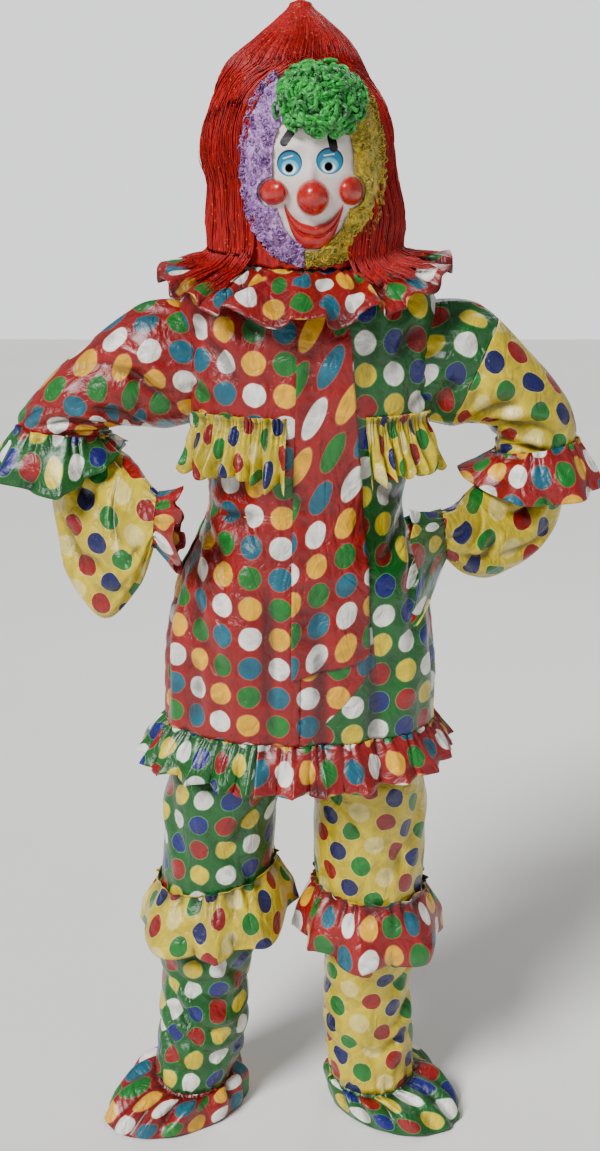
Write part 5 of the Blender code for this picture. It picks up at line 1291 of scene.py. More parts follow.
hoodShape = {
    # height, half width, front, back, centre x
    "rows": [
        (1.4262, 0.132, 0.09, 0.112, 0.008), (1.4542, 0.135, 0.095, 0.118, 0.01),
        (1.482, 0.132, 0.099, 0.124, 0.008), (1.5096, 0.128, 0.102, 0.128, 0.004),
        (1.5369, 0.131, 0.104, 0.13, -0.002), (1.5641, 0.13, 0.104, 0.13, -0.003),
        (1.591, 0.124, 0.102, 0.127, -0.004), (1.6178, 0.114, 0.098, 0.12, -0.004),
        (1.6443, 0.1005, 0.09, 0.108, -0.008), (1.6707, 0.086, 0.076, 0.09, -0.008),
        (1.6968, 0.06, 0.055, 0.066, 0.0), (1.7227, 0.032, 0.03, 0.036, 0.002),
        (1.74, 0.014, 0.013, 0.016, 0.001)],
    "edge": 1.4262, "top": 1.7415, "tip": 1.7465, "columns": 200, "rowCount": 80, "strands": 960,
    "strandSteps": 15, "lockSteps": 17, "clumps": 10, "perClump": 40,
}
maskShape = {
    "centreX": 0.018, "centreHeight": 1.528, "halfWidth": 0.098, "halfHeight": 0.131, "front": -0.124,
    "curveX": 3.4, "curveZ": 1.5, "wall": 0.0016, "eyes": [(-0.0145, 1.524), (0.038, 1.526)],
    "eyeHole": 0.0048,
    # centre x, height, half width, half height, rise
    "knobs": [
        ("maskNose", 0.017, 1.486, 0.0225, 0.024, 0.03),
        ("maskCheekLeft", -0.036, 1.493, 0.019, 0.017, 0.018),
        ("maskCheekRight", 0.069, 1.4945, 0.017, 0.019, 0.018)],
    "lips": {"left": -0.021, "right": 0.058, "corner": 1.474, "middle": 1.434, "halfWidth": 0.017,
             "rise": 0.0085},
    # relief: x, height, spread across, spread up, rise; sockets are hollow, brows and chin are raised
    "relief": [
        (-0.014, 1.53, 0.019, 0.013, -0.0042), (0.04, 1.532, 0.019, 0.013, -0.0042),
        (-0.016, 1.552, 0.02, 0.007, 0.0044), (0.042, 1.553, 0.02, 0.007, 0.0044),
        (0.014, 1.516, 0.007, 0.02, 0.005), (0.017, 1.415, 0.022, 0.012, 0.0045),
        (-0.033, 1.47, 0.012, 0.02, 0.004), (0.069, 1.47, 0.012, 0.02, 0.004),
        (0.018, 1.58, 0.05, 0.02, 0.003), (0.018, 1.457, 0.05, 0.006, -0.002)],
}


def hoodOutline(turn, height):
    # at each height half an oval in front and half an oval behind, each with a depth of its own
    turn, height = arrays(turn, height)
    _, halfWidth, front, back, centreX = tableAtKey(hoodShape["rows"], height)
    depth = np.where(cos(turn) > 0, front, back)
    return stack([centreX + halfWidth * sin(turn), -depth * cos(turn), height], axis=-1)


def maskOutline(angle, size=1.0):
    # a slightly squared oval
    acrossUp = [np.sign(way) * np.abs(way) ** 0.86 * size for way in (cos(angle), sin(angle))]
    return (maskShape["centreX"] + maskShape["halfWidth"] * acrossUp[0],
            maskShape["centreHeight"] + maskShape["halfHeight"] * acrossUp[1])


def maskSurface(x, height):
    # the face falls back from its middle, and at the rim it meets the hood
    across = (x - maskShape["centreX"]) / maskShape["halfWidth"]
    up = (height - maskShape["centreHeight"]) / maskShape["halfHeight"]
    out = hypot(across, up)
    rimX, rimHeight = maskOutline(np.arctan2(up, across))
    _, halfWidth, front, _, centreX = tableAtKey(hoodShape["rows"],
                                                 maximum(rimHeight, hoodShape["rows"][0][0]))
    rimY = -front * sqrt(maximum(1 - ((rimX - centreX) / halfWidth) ** 2, 0.05))
    faceY = (maskShape["front"] + maskShape["curveX"] * (x - maskShape["centreX"]) ** 2
             + maskShape["curveZ"] * (height - maskShape["centreHeight"]) ** 2)
    return stack([x, faceY + (rimY - faceY) * minimum(out, 1.0) ** 3, height], axis=-1)


def aheadOfMask(x, height, distance):
    # points at a distance from the mask, measured square to it but moved straight ahead
    step = 1e-4
    side = unit(np.cross(maskSurface(x + step, height) - maskSurface(x - step, height),
                         maskSurface(x, height + step) - maskSurface(x, height - step)))
    plate = maskSurface(x, height)
    plate[..., 1] -= distance / maximum(-side[..., 1], 0.4)
    return plate


def faceEdgeTurn(height, side):
    # the turn at which the hood meets the mask's outline at a height; 0 above the mask
    up = clip(np.abs(height - maskShape["centreHeight"]) / maskShape["halfHeight"], 0, 1)
    half = maskShape["halfWidth"] * maximum(1 - up ** (2 / 0.86), 0) ** 0.43
    _, halfWidth, _, _, centreX = tableAtKey(hoodShape["rows"], height)
    return np.arcsin(clip((side * half + maskShape["centreX"] - centreX) * side / halfWidth,
                          0, 0.985)) * (up < 1)


def hairSurface(turn, height, lift=0.0):
    # ridges of combed hair that part over the face and run down the sides, with a few wider swells;
    # all of it flattens towards the tip
    flow = turn + 0.22 * sin(height * 21 + 1.3) + 0.05 * sin(height * 70)
    ridge = np.abs(sin(flow * 9 + 1.5 * sin(flow * 3) + height * 6)) ** 0.8 * 0.0028
    ridge = ridge + np.abs(sin(flow * 31 + height * 9)) * 0.0008
    push = ridge + 0.003 * sin(flow * 5 + height * 17) * sin(height * 31 + flow * 2) - 0.001
    narrow = clip((hoodShape["tip"] - height) / 0.06, 0.1, 1)
    return hoodOutline(turn, height) + outFrom(turn) * ((push + lift) * narrow)[..., None]


def makeHair(name, deep, bright, fleck, fleckFrom):
    # strands by noise that is stretched along the height
    material, tree, shader, where = newMaterial(name)
    drawn = addVector(tree, "MULTIPLY", where["Object"], (1.0, 1.0, 0.12))
    strands = addNoise(tree, drawn, 330.0, 3.0, 0.6, 0.3)
    mixed = addMix(tree, addRange(tree, strands, 0.35, 0.66), deep, bright)
    mixed = addMix(tree, addRange(tree, addNoise(tree, drawn, 60.0, 2.0), 0.56, 0.72, 0.0, 0.75), mixed,
                   bright)
    flecks = addMath(tree, "GREATER_THAN", addNoise(tree, where["Object"], 210.0, 1.0), fleckFrom)
    mixed = addMix(tree, addMath(tree, "MULTIPLY", flecks, 0.8), mixed, fleck)
    feed(tree, shader, {"Base Color": mixed, "Roughness": addRange(tree, strands, 0.2, 0.8, 0.36, 0.6),
                        "Normal": addBump(tree, addMath(tree, "MULTIPLY", strands, 0.001)),
                        "Specular IOR Level": 0.4})
    return material


hairRed = makeHair("hairRed", (0.16, 0.0008, 0.0008), (0.52, 0.002, 0.0015), (0.8, 0.16, 0.008), 0.72)


def dressHood():
    columns = hoodShape["columns"]
    turn = linspace(-pi, pi, columns, endpoint=False)
    # it ends on the collar: where the collar's highest wave lies as far out as the hood's lower edge
    edge = hoodOutline(turn, hoodShape["edge"])
    crest = collarSurface(*arrays(turn, linspace(0, 1, 40)[:, None], 1.0))
    reach, wanted = hypot(crest[..., 0], crest[..., 1]), hypot(edge[:, 0], edge[:, 1])
    foot = 0.003 + np.array([np.interp(*column) for column in zip(wanted, reach.T, crest[..., 2].T)])
    # the lower edge is ragged, as the ends of hair
    foot = foot + 0.004 * np.abs(sin(turn * 23 + 2 * sin(turn * 7)))
    heights = foot + (hoodShape["top"] - foot) * linspace(0, 1, hoodShape["rowCount"])[:, None]
    points = hairSurface(turn + 0 * heights, heights)
    mesh = gridMesh("hood", points, closed=True, pole=(0.001, 0.0, hoodShape["tip"]))
    piece = addPiece("hood", mesh, hairRed, "hair_red")
    thicken(piece, 0.0012)
    # the face's opening is the mask's outline, a little wider
    x, height = maskOutline(linspace(0, 2 * pi, 72, endpoint=False), 1 + 0.0022 / maskShape["halfWidth"])
    cutHole(piece, np.array([stack(arrays(x, depth, height), axis=-1) for depth in (-0.3, 0.0)]))


def dressStrands():
    # strands start at a height on the hood and keep their share of the way
    # from the face's edge round to the back
    random = np.random.default_rng(12)
    count, nearFace = hoodShape["strands"], 150
    along = linspace(0, 1, hoodShape["strandSteps"])
    share = random.uniform(0.0, 1.0, count) ** 1.15
    # these fall a little over the rim of the mask
    share[:nearFace] = random.uniform(-0.035, 0.02, nearFace)
    side = random.choice([-1.0, 1.0], count)[:, None]
    start = np.where(random.random(count) < 0.35, random.uniform(1.7, 1.738, count),
                     random.uniform(1.5, 1.72, count))
    length = random.uniform(0.1, 0.22, count)
    end = maximum(start - length, 1.424 + random.uniform(0, 0.012, count))
    height = start[:, None] + (end - start)[:, None] * along
    wander = (random.uniform(-0.05, 0.05, count)[:, None]
              * sin(along * pi + random.uniform(0, 3, count)[:, None]))
    place = clip(share[:, None] + wander * clip(share[:, None] * 4, 0, 1), -0.035, 1.0)
    edge = faceEdgeTurn(height, side)
    lift = 0.0014 + random.uniform(0, 0.0022, count)[:, None] * sin(pi * along) ** 0.5
    points = hairSurface(side * (edge + (pi - edge) * place), height, lift)
    radius = (random.uniform(0.0006, 0.0011, count)[:, None]
              * sin(pi * clip(along * 0.94 + 0.04, 0, 1)) ** 0.5)
    addPiece("hoodStrands", tubes("hoodStrands", points, radius, 3), hairRed, "hair_red", "hood")


def dressLocks():
    # locks gather into points and lie over the collar's crests; they start on the hood just above its edge
    clumps, along = hoodShape["clumps"], linspace(0, 1, hoodShape["lockSteps"])
    clump = np.repeat(arange(clumps), hoodShape["perClump"])
    count = len(clump)
    for name, startDeg, endDeg, tipShare, seed in (("hoodLocksLeft", -108, -32, 0.93, 5),
                                                   ("hoodLocksRight", 26, 104, 0.96, 6)):
        random = np.random.default_rng(seed)
        pitch = radians(endDeg - startDeg) / clumps
        centres = radians(startDeg) + pitch * (arange(clumps) + 0.5)
        inClump = random.uniform(-0.48, 0.48, count)
        ownTip = np.round(inClump * 2.4) / 2.4    # each lock splits into a few thin ends
        reached = (random.uniform(0.0, 0.26, clumps)[clump] + random.uniform(0, 0.1, count)
                   + 0.16 * np.abs(ownTip))
        tip = (tipShare - reached - 0.15 * bump(np.degrees(np.abs(centres)), 100, 22)[clump])[:, None]
        # it swings to one side and the next to the other, and its strands close up to their own ends
        gather = clip((along - 0.42) / 0.58, 0, 1) ** 0.8
        onCollar = clip((along - 0.45) / 0.55, 0, 1)
        swing = (random.uniform(0.15, 0.55, clumps)[clump][:, None] * ((-1.0) ** clump)[:, None]
                 * onCollar ** 1.3)
        wave = 0.12 * sin(along * 7 + random.uniform(0, 6, count)[:, None]) * along
        spread = inClump[:, None] * 1.35 * (1 - gather) + (ownTip * 0.9 + 0.1 * inClump)[:, None] * gather
        turn = centres[clump][:, None] + pitch * (spread + swing + wave)
        # the first part lies on the hood, down to its edge, and the rest on the collar
        edge = hoodOutline(turn, hoodShape["edge"])
        neck = tunicOutline(turn, neckHeight(turn) - 0.004)
        _, reach, _ = tableAtKey(collarRuffle["shape"], wrapped(turn))
        start = (hypot(edge[..., 0], edge[..., 1]) - hypot(neck[..., 0], neck[..., 1])) / reach + 0.05
        start = clip(start, 0.1, 0.8)
        lying = collarSurface(turn, start + (tip - start) * onCollar, np.ones_like(turn))
        top = 1.44 + random.uniform(0.0, 0.12, count)[:, None]
        height = top + (lying[..., 2] + 0.004 - top) * clip(along / 0.45, 0, 1)
        loose = random.uniform(0.0, 0.004, count)[:, None]
        hanging = hairSurface(turn, maximum(height, hoodShape["edge"]), 0.0026 + loose)
        lying[..., 2] += 0.0018 + loose * sin(pi * along) ** 0.6
        blend = clip((along - 0.28) / 0.34, 0, 1)[:, None]
        points = hanging * (1 - blend) + lying * blend
        radius = (random.uniform(0.0008, 0.0017, count)[:, None] * (1 - 0.8 * along ** 2)
                  * clip(along * 3 + 0.15, 0, 1))
        addPiece(name, tubes(name, points, radius, 4, 0.7), hairRed, "hair_red")


# mask


def makePaintGroups():
    # an oval and a stroke of paint, drawn straight on the front of the mask in metres
    clamp = (("MAXIMUM", 0.0), ("MINIMUM", 1.0))
    oval, get, result = newGroup("paintedOval", {"Vector": "Vector", "Centre": "Vector", "Size": "Vector",
                                                 "Soft": "Float"}, {"Mask": "Float"})
    away = addVector(oval, "MULTIPLY", addVector(oval, "SUBTRACT", get["Vector"], get["Centre"]),
                     (1.0, 0.0, 1.0))
    away = addVector(oval, "LENGTH", addVector(oval, "DIVIDE", away, get["Size"]))
    edge = addMath(oval, "DIVIDE", addMath(oval, "SUBTRACT", 1.0, away), get["Soft"])
    for operation, limit in clamp:
        edge = addMath(oval, operation, edge, limit)
    feed(oval, result, {"Mask": edge})
    stroke, get, result = newGroup("paintedStroke", {"Vector": "Vector", "Start": "Vector", "Way": "Vector",
                                                     "Width": "Float"}, {"Mask": "Float"})
    flat = addVector(stroke, "MULTIPLY", addVector(stroke, "SUBTRACT", get["Vector"], get["Start"]),
                     (1.0, 0.0, 1.0))
    along = addMath(stroke, "DIVIDE", addVector(stroke, "DOT_PRODUCT", flat, get["Way"]),
                    addVector(stroke, "DOT_PRODUCT", get["Way"], get["Way"]))
    for operation, limit in clamp:
        along = addMath(stroke, operation, along, limit)
    off = addVector(stroke, "SUBTRACT", flat, addVector(stroke, "SCALE", get["Way"], scale=along))
    edge = addMath(stroke, "SUBTRACT", get["Width"], addVector(stroke, "LENGTH", off))
    edge = addMath(stroke, "DIVIDE", edge, 0.0006)
    for operation, limit in clamp:
        edge = addMath(stroke, operation, edge, limit)
    feed(stroke, result, {"Mask": edge})
    return oval, stroke


ovalGroup, strokeGroup = makePaintGroups()

facePaint = {
    # x, height, half width, half height, colour, softness; from the whites of the eyes in to the pupils
    "ovals": [
        (-0.014, 1.53, 0.0195, 0.019, (0.8, 0.84, 0.84), 0.2),
        (0.04, 1.533, 0.021, 0.019, (0.8, 0.84, 0.84), 0.2),
        (-0.014, 1.5306, 0.0174, 0.0174, (0.004, 0.02, 0.06), 0.05),
        (0.0396, 1.5336, 0.0188, 0.0174, (0.004, 0.02, 0.06), 0.05),
        (-0.0139, 1.529, 0.0166, 0.0166, (0.01, 0.2, 0.36), 0.1),
        (0.0394, 1.532, 0.018, 0.0166, (0.01, 0.2, 0.36), 0.1),
        (-0.0135, 1.525, 0.0122, 0.0105, (0.16, 0.5, 0.62), 0.22),
        (0.039, 1.528, 0.0132, 0.0105, (0.16, 0.5, 0.62), 0.22),
        (-0.0143, 1.5228, 0.0094, 0.0074, (0.86, 0.88, 0.88), 0.16),
        (0.0382, 1.525, 0.0098, 0.0074, (0.86, 0.88, 0.88), 0.16),
        (-0.0145, 1.524, 0.0064, 0.0066, (0.03, 0.07, 0.1), 0.12),
        (0.038, 1.526, 0.0064, 0.0066, (0.03, 0.07, 0.1), 0.12)],
    # start x, start height, way across, way up, width, colour: the brows, then a light on each lid
    "strokes": [
        (-0.0105, 1.572, -0.0105, -0.015, 0.006, (0.003, 0.003, 0.003)),
        (0.0415, 1.563, 0.003, -0.013, 0.006, (0.003, 0.003, 0.003)),
        (-0.022, 1.5365, 0.012, 0.0035, 0.0012, (0.75, 0.82, 0.84)),
        (0.032, 1.54, 0.013, 0.002, 0.0012, (0.75, 0.82, 0.84))],
}


def makeMaskPaint():
    material, tree, shader, where = newMaterial("maskPaint")
    grime = addNoise(tree, where["Object"], 34.0, 4.0, 0.6)
    painted = addMix(tree, addRange(tree, grime, 0.42, 0.7, 0.0, 0.55), (0.8, 0.73, 0.68),
                     (0.66, 0.52, 0.45))
    for x, height, halfWidth, halfHeight, colour, soft in facePaint["ovals"]:
        shape = {"Centre": (x, 0.0, height - shoulderHeight), "Size": (halfWidth, 1.0, halfHeight),
                 "Soft": soft}
        mask = placeGroup(tree, ovalGroup, {"Vector": where["Object"], **shape})["Mask"]
        painted = addMix(tree, mask, painted, colour)
    for x, height, wayX, wayUp, width, colour in facePaint["strokes"]:
        shape = {"Start": (x, 0.0, height - shoulderHeight), "Way": (wayX, 0.0, wayUp), "Width": width}
        mask = placeGroup(tree, strokeGroup, {"Vector": where["Object"], **shape})["Mask"]
        painted = addMix(tree, mask, painted, colour)
    rough = addNoise(tree, where["Object"], 260.0, 2.0)
    feed(tree, shader, {"Base Color": painted, "Roughness": addRange(tree, grime, 0.3, 0.7, 0.36, 0.52),
                        "Normal": addBump(tree, addMath(tree, "MULTIPLY", rough, 0.0003)),
                        "Specular IOR Level": 0.3})
    return material


def makeGlossRed():
    material, tree, shader, where = newMaterial("glossRed")
    worn = addNoise(tree, where["Object"], 120.0, 4.0, 0.65, 0.4)
    painted = addMix(tree, addRange(tree, worn, 0.52, 0.74, 0.0, 0.8), (0.42, 0.003, 0.003),
                     (0.7, 0.08, 0.006))
    feed(tree, shader, {"Base Color": painted, "Roughness": addRange(tree, worn, 0.3, 0.7, 0.22, 0.36),
                        "Normal": addBump(tree, addMath(tree, "MULTIPLY", worn, 0.0007)),
                        "Coat Weight": 0.5, "Coat Roughness": 0.14})
    return material


maskPaint, glossRed = makeMaskPaint(), makeGlossRed()


def polarDisc(rings, columns):
    # ring by ring from the edge in to near the middle
    out, angle = arrays(linspace(1, 0, rings, endpoint=False)[:, None],
                        linspace(0, 2 * pi, columns, endpoint=False))
    return out * cos(angle), out * sin(angle), out, angle


def addSlab(name, inner, outer, pole, material, slot):
    # two discs of rings joined round their edge into one closed piece
    mesh = gridMesh(name, concatenate([inner[::-1], outer]), closed=True, pole=pole)
    closeEnds(mesh)
    addPiece(name, mesh, material, slot)


def dressMask():
    _, _, out, angle = polarDisc(56, 140)
    x, height = maskOutline(angle, out)
    points = maskSurface(x, height)
    relief = sum(rise * bump(x, atX, wide) * bump(height, atHeight, tall)
                 for atX, atHeight, wide, tall, rise in maskShape["relief"])
    points[..., 1] -= relief * clip((1 - out) * 6, 0, 1)
    pole = maskSurface(*arrays(maskShape["centreX"], maskShape["centreHeight"]))
    piece = addPiece("mask", gridMesh("mask", points, closed=True, pole=pole), maskPaint, "mask_white")
    thicken(piece, maskShape["wall"])
    ring, hole = linspace(0, 2 * pi, 24, endpoint=False), maskShape["eyeHole"]
    for eyeX, eyeHeight in maskShape["eyes"]:
        x, height = eyeX + hole * cos(ring), eyeHeight + hole * sin(ring)
        cutHole(piece, np.array([stack(arrays(x, depth, height), axis=-1) for depth in (-0.2, -0.05)]))


def dressKnobs():
    # half of an ellipsoid stands on each knob's foot
    for name, centreX, centreHeight, halfWidth, halfHeight, rise in maskShape["knobs"]:
        across, up, out, _ = polarDisc(22, 56)
        foot = 0.0024
        inner = aheadOfMask(centreX + halfWidth * across, centreHeight + halfHeight * up,
                            maskShape["wall"] - 0.0006)
        outer = inner.copy()
        outer[..., 1] -= foot + rise * sqrt(maximum(1 - out ** 2, 0))
        top = aheadOfMask(*arrays(centreX, centreHeight), maskShape["wall"]) - (0, foot + rise, 0)
        addSlab(name, inner, outer, top, glossRed, "mask_red")


def lipLine(x, power):
    # the share of the way from the mouth's middle to its corner, and the lips' middle line there
    lips = maskShape["lips"]
    share = (x - (lips["left"] + lips["right"]) / 2) / ((lips["right"] - lips["left"]) / 2)
    return share, lips["middle"] + (lips["corner"] - lips["middle"]) * np.abs(share) ** power


def dressLips():
    lips = maskShape["lips"]
    x, across = np.meshgrid(linspace(lips["left"], lips["right"], 73), linspace(-1, 1, 25))
    share, curve = lipLine(x, 2.8)
    thick = lips["halfWidth"] * (1 - 0.78 * np.abs(share) ** 3.2)
    # the upper lip has a dip in its middle, and a soft line parts the lips
    height = curve + thick * across - 0.0022 * bump(share, 0, 0.13) * clip(across, 0, 1)
    rise = 0.0012 + lips["rise"] * (1 - across ** 4) ** 0.5 * (1 - 0.5 * share ** 2)
    rise = rise - 0.0042 * bump(across, 0.08, 0.13) * clip(1 - share ** 2, 0, 1) ** 0.4
    inner = aheadOfMask(x, height, maskShape["wall"])
    outer = inner.copy()
    outer[..., 1] -= maximum(rise, 0.001)
    # two grids of quads, and a wall round the edge between them
    rows, columns = share.shape
    ring = concatenate([arange(columns), arange(1, rows) * columns + columns - 1,
                        (rows - 1) * columns + arange(columns - 2, -1, -1),
                        arange(rows - 2, 0, -1) * columns])
    row, column = np.meshgrid(arange(rows - 1) * columns, arange(columns - 1), indexing="ij")
    quad = stack([row + column, row + column + 1, row + columns + column + 1, row + columns + column],
                    axis=-1).reshape(-1, 4)
    size, after = rows * columns, np.roll(ring, -1)
    faces = concatenate([quad[:, ::-1], quad + size,
                         stack([ring, after, after + size, ring + size], axis=-1)])
    vertices = concatenate([inner.reshape(-1, 3), outer.reshape(-1, 3)])
    addPiece("maskLips", writeMesh("maskLips", vertices, faces.ravel(), arange(0, faces.size, 4)), glossRed,
             "mask_red")


# curls


def makeCurls(name, pale, deep, fleck, scale):
    material, tree, shader, where = newMaterial(name)
    mottle = addNoise(tree, where["Object"], scale, 3.0, 0.6, 1.2)
    fine = addNoise(tree, where["Object"], scale * 4, 2.0)
    mixed = addMix(tree, addRange(tree, mottle, 0.38, 0.62), pale, deep)
    mixed = addMix(tree, addRange(tree, fine, 0.56, 0.68, 0.0, 0.8), mixed, fleck)
    feed(tree, shader, {"Base Color": mixed, "Roughness": addRange(tree, fine, 0.2, 0.8, 0.32, 0.55),
                        "Normal": addBump(tree, addMath(tree, "MULTIPLY", fine, 0.001)),
                        "Sheen Weight": 0.2})
    return material


curlsLilac = makeCurls("curlsLilac", (0.46, 0.24, 0.56), (0.11, 0.018, 0.18), (0.66, 0.44, 0.68), 85.0)
curlsYellow = makeCurls("curlsYellow", (0.62, 0.42, 0.006), (0.2, 0.19, 0.004), (0.8, 0.56, 0.03), 70.0)
curlsGreen = makeCurls("curlsGreen", (0.006, 0.4, 0.025), (0.002, 0.07, 0.005), (0.06, 0.66, 0.12), 60.0)

curlBands = [
    # turns in degrees from +X, how far in they reach at the sides and under the chin, rise, curls,
    # size, thread, swells along the band
    ("curlsLilac", curlsLilac, 118, 264, 0.57, 0.8, 0.012, 300, 0.0048, 0.00085, 8),
    ("curlsYellow", curlsYellow, 44, -95, 0.56, 0.8, 0.01, 270, 0.005, 0.00095, 9),
]
tuftShape = {"centreX": 0.027, "centreHeight": 1.611, "halfWidth": 0.06, "halfHeight": 0.046, "rise": 0.034,
             "curls": 230, "size": 0.01, "thread": 0.0033}


def addSprings(name, centres, out, size, thread, seed, material, steps=15, sides=4, loops=1.35):
    # each curl is a short spring that lies on the form: it winds about an axis near the surface
    random = np.random.default_rng(seed)
    count = len(centres)
    out = unit(out)
    spin = random.uniform(0, 2 * pi, count)
    axis = unit(np.cross(out, stack([cos(spin), 0.2 * sin(spin), sin(spin)], axis=-1)))
    across = np.cross(axis, out)
    along = linspace(0, 1, steps)
    angle = along * 2 * pi * loops + random.uniform(0, 6.3, count)[:, None]
    radius = size * random.uniform(0.65, 1.25, count)[:, None] * (0.55 + 0.45 * along)
    tilt = random.uniform(0.15, 0.75, count)[:, None]
    points = (centres[:, None] + across[:, None] * (cos(angle) * radius)[..., None]
              + axis[:, None] * (sin(angle) * radius * (1 - tilt))[..., None]
              + out[:, None] * (sin(angle) * radius * tilt * 0.8 + radius * 0.3)[..., None])
    thick = random.uniform(0.8, 1.25, count)[:, None]
    thick = thread * thick * sin(pi * clip(along * 0.9 + 0.06, 0, 1)) ** 0.4
    slot = nodeName(name)
    addPiece(name + "Springs", tubes(name + "Springs", points, thick, sides), material, slot, slot)


def insideFace(x, height, margin=0.003):
    # true where a curl would cover a cheek, the nose or the lips
    covered = np.zeros(np.shape(x), bool)
    for _, centreX, centreHeight, halfWidth, halfHeight, _ in maskShape["knobs"]:
        covered |= hypot((x - centreX) / (halfWidth + margin),
                         (height - centreHeight) / (halfHeight + margin)) < 1
    share, curve = lipLine(x, 2)
    thick = maskShape["lips"]["halfWidth"] * (1 - 0.8 * minimum(share ** 2, 1)) + 0.003
    return covered | (np.abs(share) < 1.06) & (np.abs(height - curve) < thick)


def bandPoint(band, turn, share):
    # a share of the way from the band's inner edge to the mask's outline, raised in knots
    _, _, _, _, inner, chinInner, rise, _, _, _, lumps = band
    innerEdge = inner + (chinInner - inner) * clip(-sin(turn), 0, 1) ** 3
    x, height = maskOutline(turn, innerEdge + (1.0 - innerEdge) * share)
    knots = 0.75 + 0.25 * cos(turn * lumps * 2.4) * cos(share * pi * 2)
    raised = 0.0012 + rise * 0.8 * sin(pi * clip(share, 0.1, 0.9)) ** 0.8 * knots
    raised = raised + 0.0012 * sin(turn * 47 + share * 5) * sin(share * 21 + turn * 13)
    raised = np.where(insideFace(x, height), -0.0012, raised)
    return aheadOfMask(x, height, maskShape["wall"] + 0.0006 + raised), x, height


def dressCurls():
    for number, band in enumerate(curlBands):
        name, material, startDeg, endDeg, _, _, _, count, size, thread, _ = band
        turn, share = np.meshgrid(radians(linspace(startDeg, endDeg, 150)), linspace(0, 1, 40))
        mesh = gridMesh(name, bandPoint(band, turn, share)[0], flip=endDeg > startDeg)
        thicken(addPiece(name, mesh, material, nodeName(name)), 0.001, -1.0)
        # springs are strewn over the band and once more along its rim, but not over the face or the tuft
        random = np.random.default_rng(31 + number)
        turn = radians(random.uniform(min(startDeg, endDeg), max(startDeg, endDeg), count * 2))
        share = concatenate([random.uniform(0.04, 0.97, count), random.uniform(0.9, 1.0, count)])
        mixed = random.permutation(count * 2)
        centres, x, height = bandPoint(band, turn[mixed], share[mixed])
        tuft = hypot((x - tuftShape["centreX"]) / 0.066, (height - tuftShape["centreHeight"]) / 0.052) < 1
        centres = centres[~insideFace(x, height, 0.006) & ~tuft][:count]
        out = np.tile([0.0, -1.0, 0.0], (len(centres), 1)) + random.uniform(-0.4, 0.4, (len(centres), 3))
        addSprings(name, centres, out, size, thread, 41 + number, material)


def onTuft(across, up, distance):
    # a place given in half widths and half heights of the tuft, at a distance in front of the mask's wall
    return aheadOfMask(tuftShape["centreX"] + tuftShape["halfWidth"] * across,
                       tuftShape["centreHeight"] + tuftShape["halfHeight"] * up,
                       maskShape["wall"] + 0.001 + distance)


def tuftPoint(across, up):
    # a low dome with knots and smaller lumps
    knots = 0.85 + 0.15 * cos(across * 8) * cos(up * 6.5)
    raised = 0.003 + tuftShape["rise"] * 0.86 * sqrt(maximum(1 - hypot(across, up) ** 2, 0)) * knots
    return onTuft(across, up, raised + 0.0022 * sin(across * 17 + up * 5) * sin(up * 15 - across * 7))


def dressTuft():
    across, up, out, angle = polarDisc(30, 72)
    # the edge is scalloped
    scallop = 1 + 0.035 * cos(angle * 11 + 2 * sin(angle * 3)) * out
    outer = tuftPoint(across * 0.95 * scallop, up * 0.95 * scallop)
    inner = onTuft(across * 0.92 * scallop, up * 0.92 * scallop, 0.0)
    addSlab("curlsGreen", inner, outer, tuftPoint(*arrays(0.0, 0.0)), curlsGreen, "curls_green")
    random = np.random.default_rng(77)
    count = tuftShape["curls"]
    reach, turn = sqrt(random.uniform(0, 1, count)) * 0.97, random.uniform(0, 2 * pi, count)
    across, up = reach * cos(turn), reach * sin(turn)
    out = stack([across * 0.9, -sqrt(maximum(1.05 - reach ** 2, 0.05)), up * 0.9], axis=-1)
    out = out + random.uniform(-0.25, 0.25, out.shape)
    addSprings("curlsGreen", tuftPoint(across, up), out, tuftShape["size"], tuftShape["thread"], 78,
               curlsGreen, steps=16, sides=5, loops=1.05)


for dress in (dressHood, dressStrands, dressLocks, dressMask, dressKnobs, dressLips, dressCurls, dressTuft):
    dress()
print("hair, mask and curls made")

# stage, light and camera, as in the photograph

stageSetup = {
    "cameraHeight": 1.5, "cameraDistance": 2.0, "pitchDeg": 16, "focalPixels": 1355, "longSide": 1151,
    "sensor": 36.0, "floorColor": (0.9, 0.89, 0.87), "floorSize": 12.0, "wallStrength": 1.45,
    "softStrength": 0.28,
    # kind, place, energy, size or angle
    "lights": {"keyLight": ("SUN", (-1.9, -2.1, 2.1), 4.4, 0.35),
               "fillLight": ("AREA", (2.4, -2.2, 0.4), 7, 1.8),
               "rearLight": ("AREA", (1.0, 2.4, 1.6), 24, 1.6)},
}


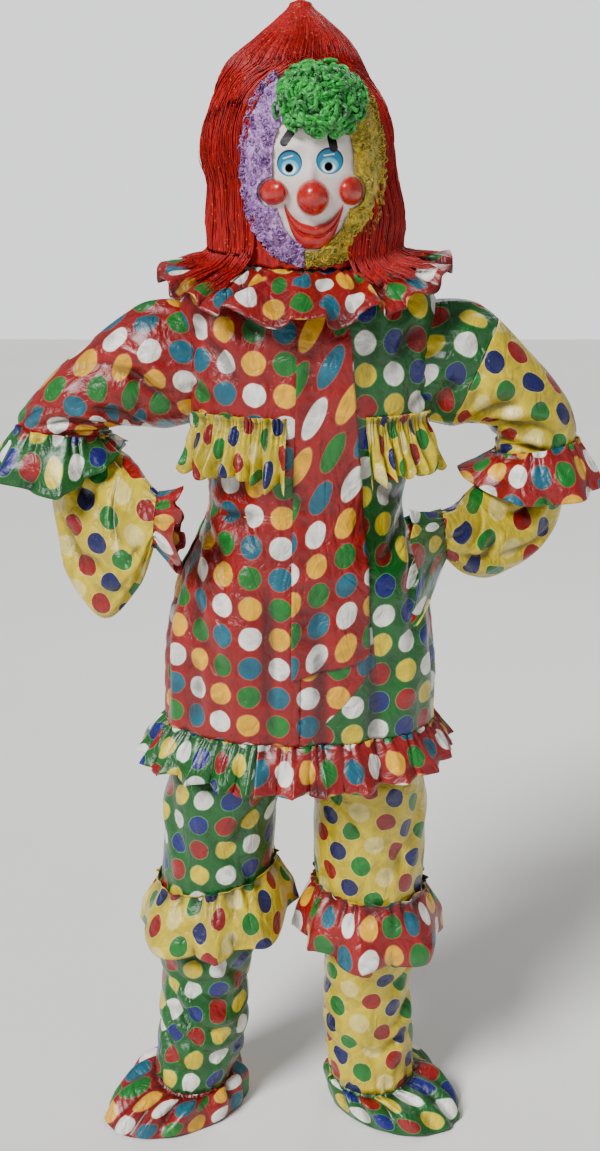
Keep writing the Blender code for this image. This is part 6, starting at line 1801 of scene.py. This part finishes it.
def makeStage():
    mesh = bpy.data.meshes.new("studioFloor")
    size, z = stageSetup["floorSize"], -shoulderHeight - 0.0005
    mesh.from_pydata([(-size, -size, z), (size, -size, z), (size, size, z), (-size, size, z)], [],
                     [(0, 1, 2, 3)])
    material, tree, shader, where = newMaterial("studioFloor")
    tone = addRange(tree, addNoise(tree, where["Object"], 1.5), 0.3, 0.7, 0.97, 1.0)
    feed(tree, shader, {"Base Color": addShade(tree, stageSetup["floorColor"], tone), "Roughness": 0.85})
    mesh.materials.append(material)
    addObject("studioFloor", mesh)
    # the studio's wall is bright behind the costume, and softer where it lights it
    world = bpy.data.worlds.new("studioWorld")
    world.use_nodes = True
    tree = world.node_tree
    bright, soft = tree.nodes["Background"], tree.nodes.new("ShaderNodeBackground")
    for background, strength in ((bright, stageSetup["wallStrength"]), (soft, stageSetup["softStrength"])):
        feed(tree, background, {"Color": (0.95, 0.96, 0.97), "Strength": strength})
    seen = tree.nodes.new("ShaderNodeLightPath").outputs["Is Camera Ray"]
    blend = addNode(tree, "MixShader", {"Fac": seen, 1: soft.outputs[0], 2: bright.outputs[0]})
    feed(tree, tree.nodes["World Output"], {"Surface": blend.outputs[0]})
    bpy.context.scene.world = world
    for name, (kind, place, energy, wide) in stageSetup["lights"].items():
        lamp = bpy.data.lights.new(name, kind)
        lamp.energy = energy
        setattr(lamp, "angle" if kind == "SUN" else "size", wide)
        light = addObject(name, lamp)
        light.location = place
        aim = Vector((-place[0], -place[1], -place[2] - 0.3))
        light.rotation_euler = aim.to_track_quat("-Z", "Y").to_euler()
    view = bpy.data.cameras.new("photoCamera")
    view.sensor_fit, view.sensor_width = "AUTO", stageSetup["sensor"]
    view.lens = stageSetup["sensor"] * stageSetup["focalPixels"] / stageSetup["longSide"]
    view.clip_start, view.clip_end = 0.05, 50.0
    camera = addObject("photoCamera", view)
    camera.location = (0.0, -stageSetup["cameraDistance"], stageSetup["cameraHeight"] - shoulderHeight)
    camera.rotation_euler = (radians(90 - stageSetup["pitchDeg"]), 0.0, 0.0)
    bpy.context.scene.camera = camera


makeStage()
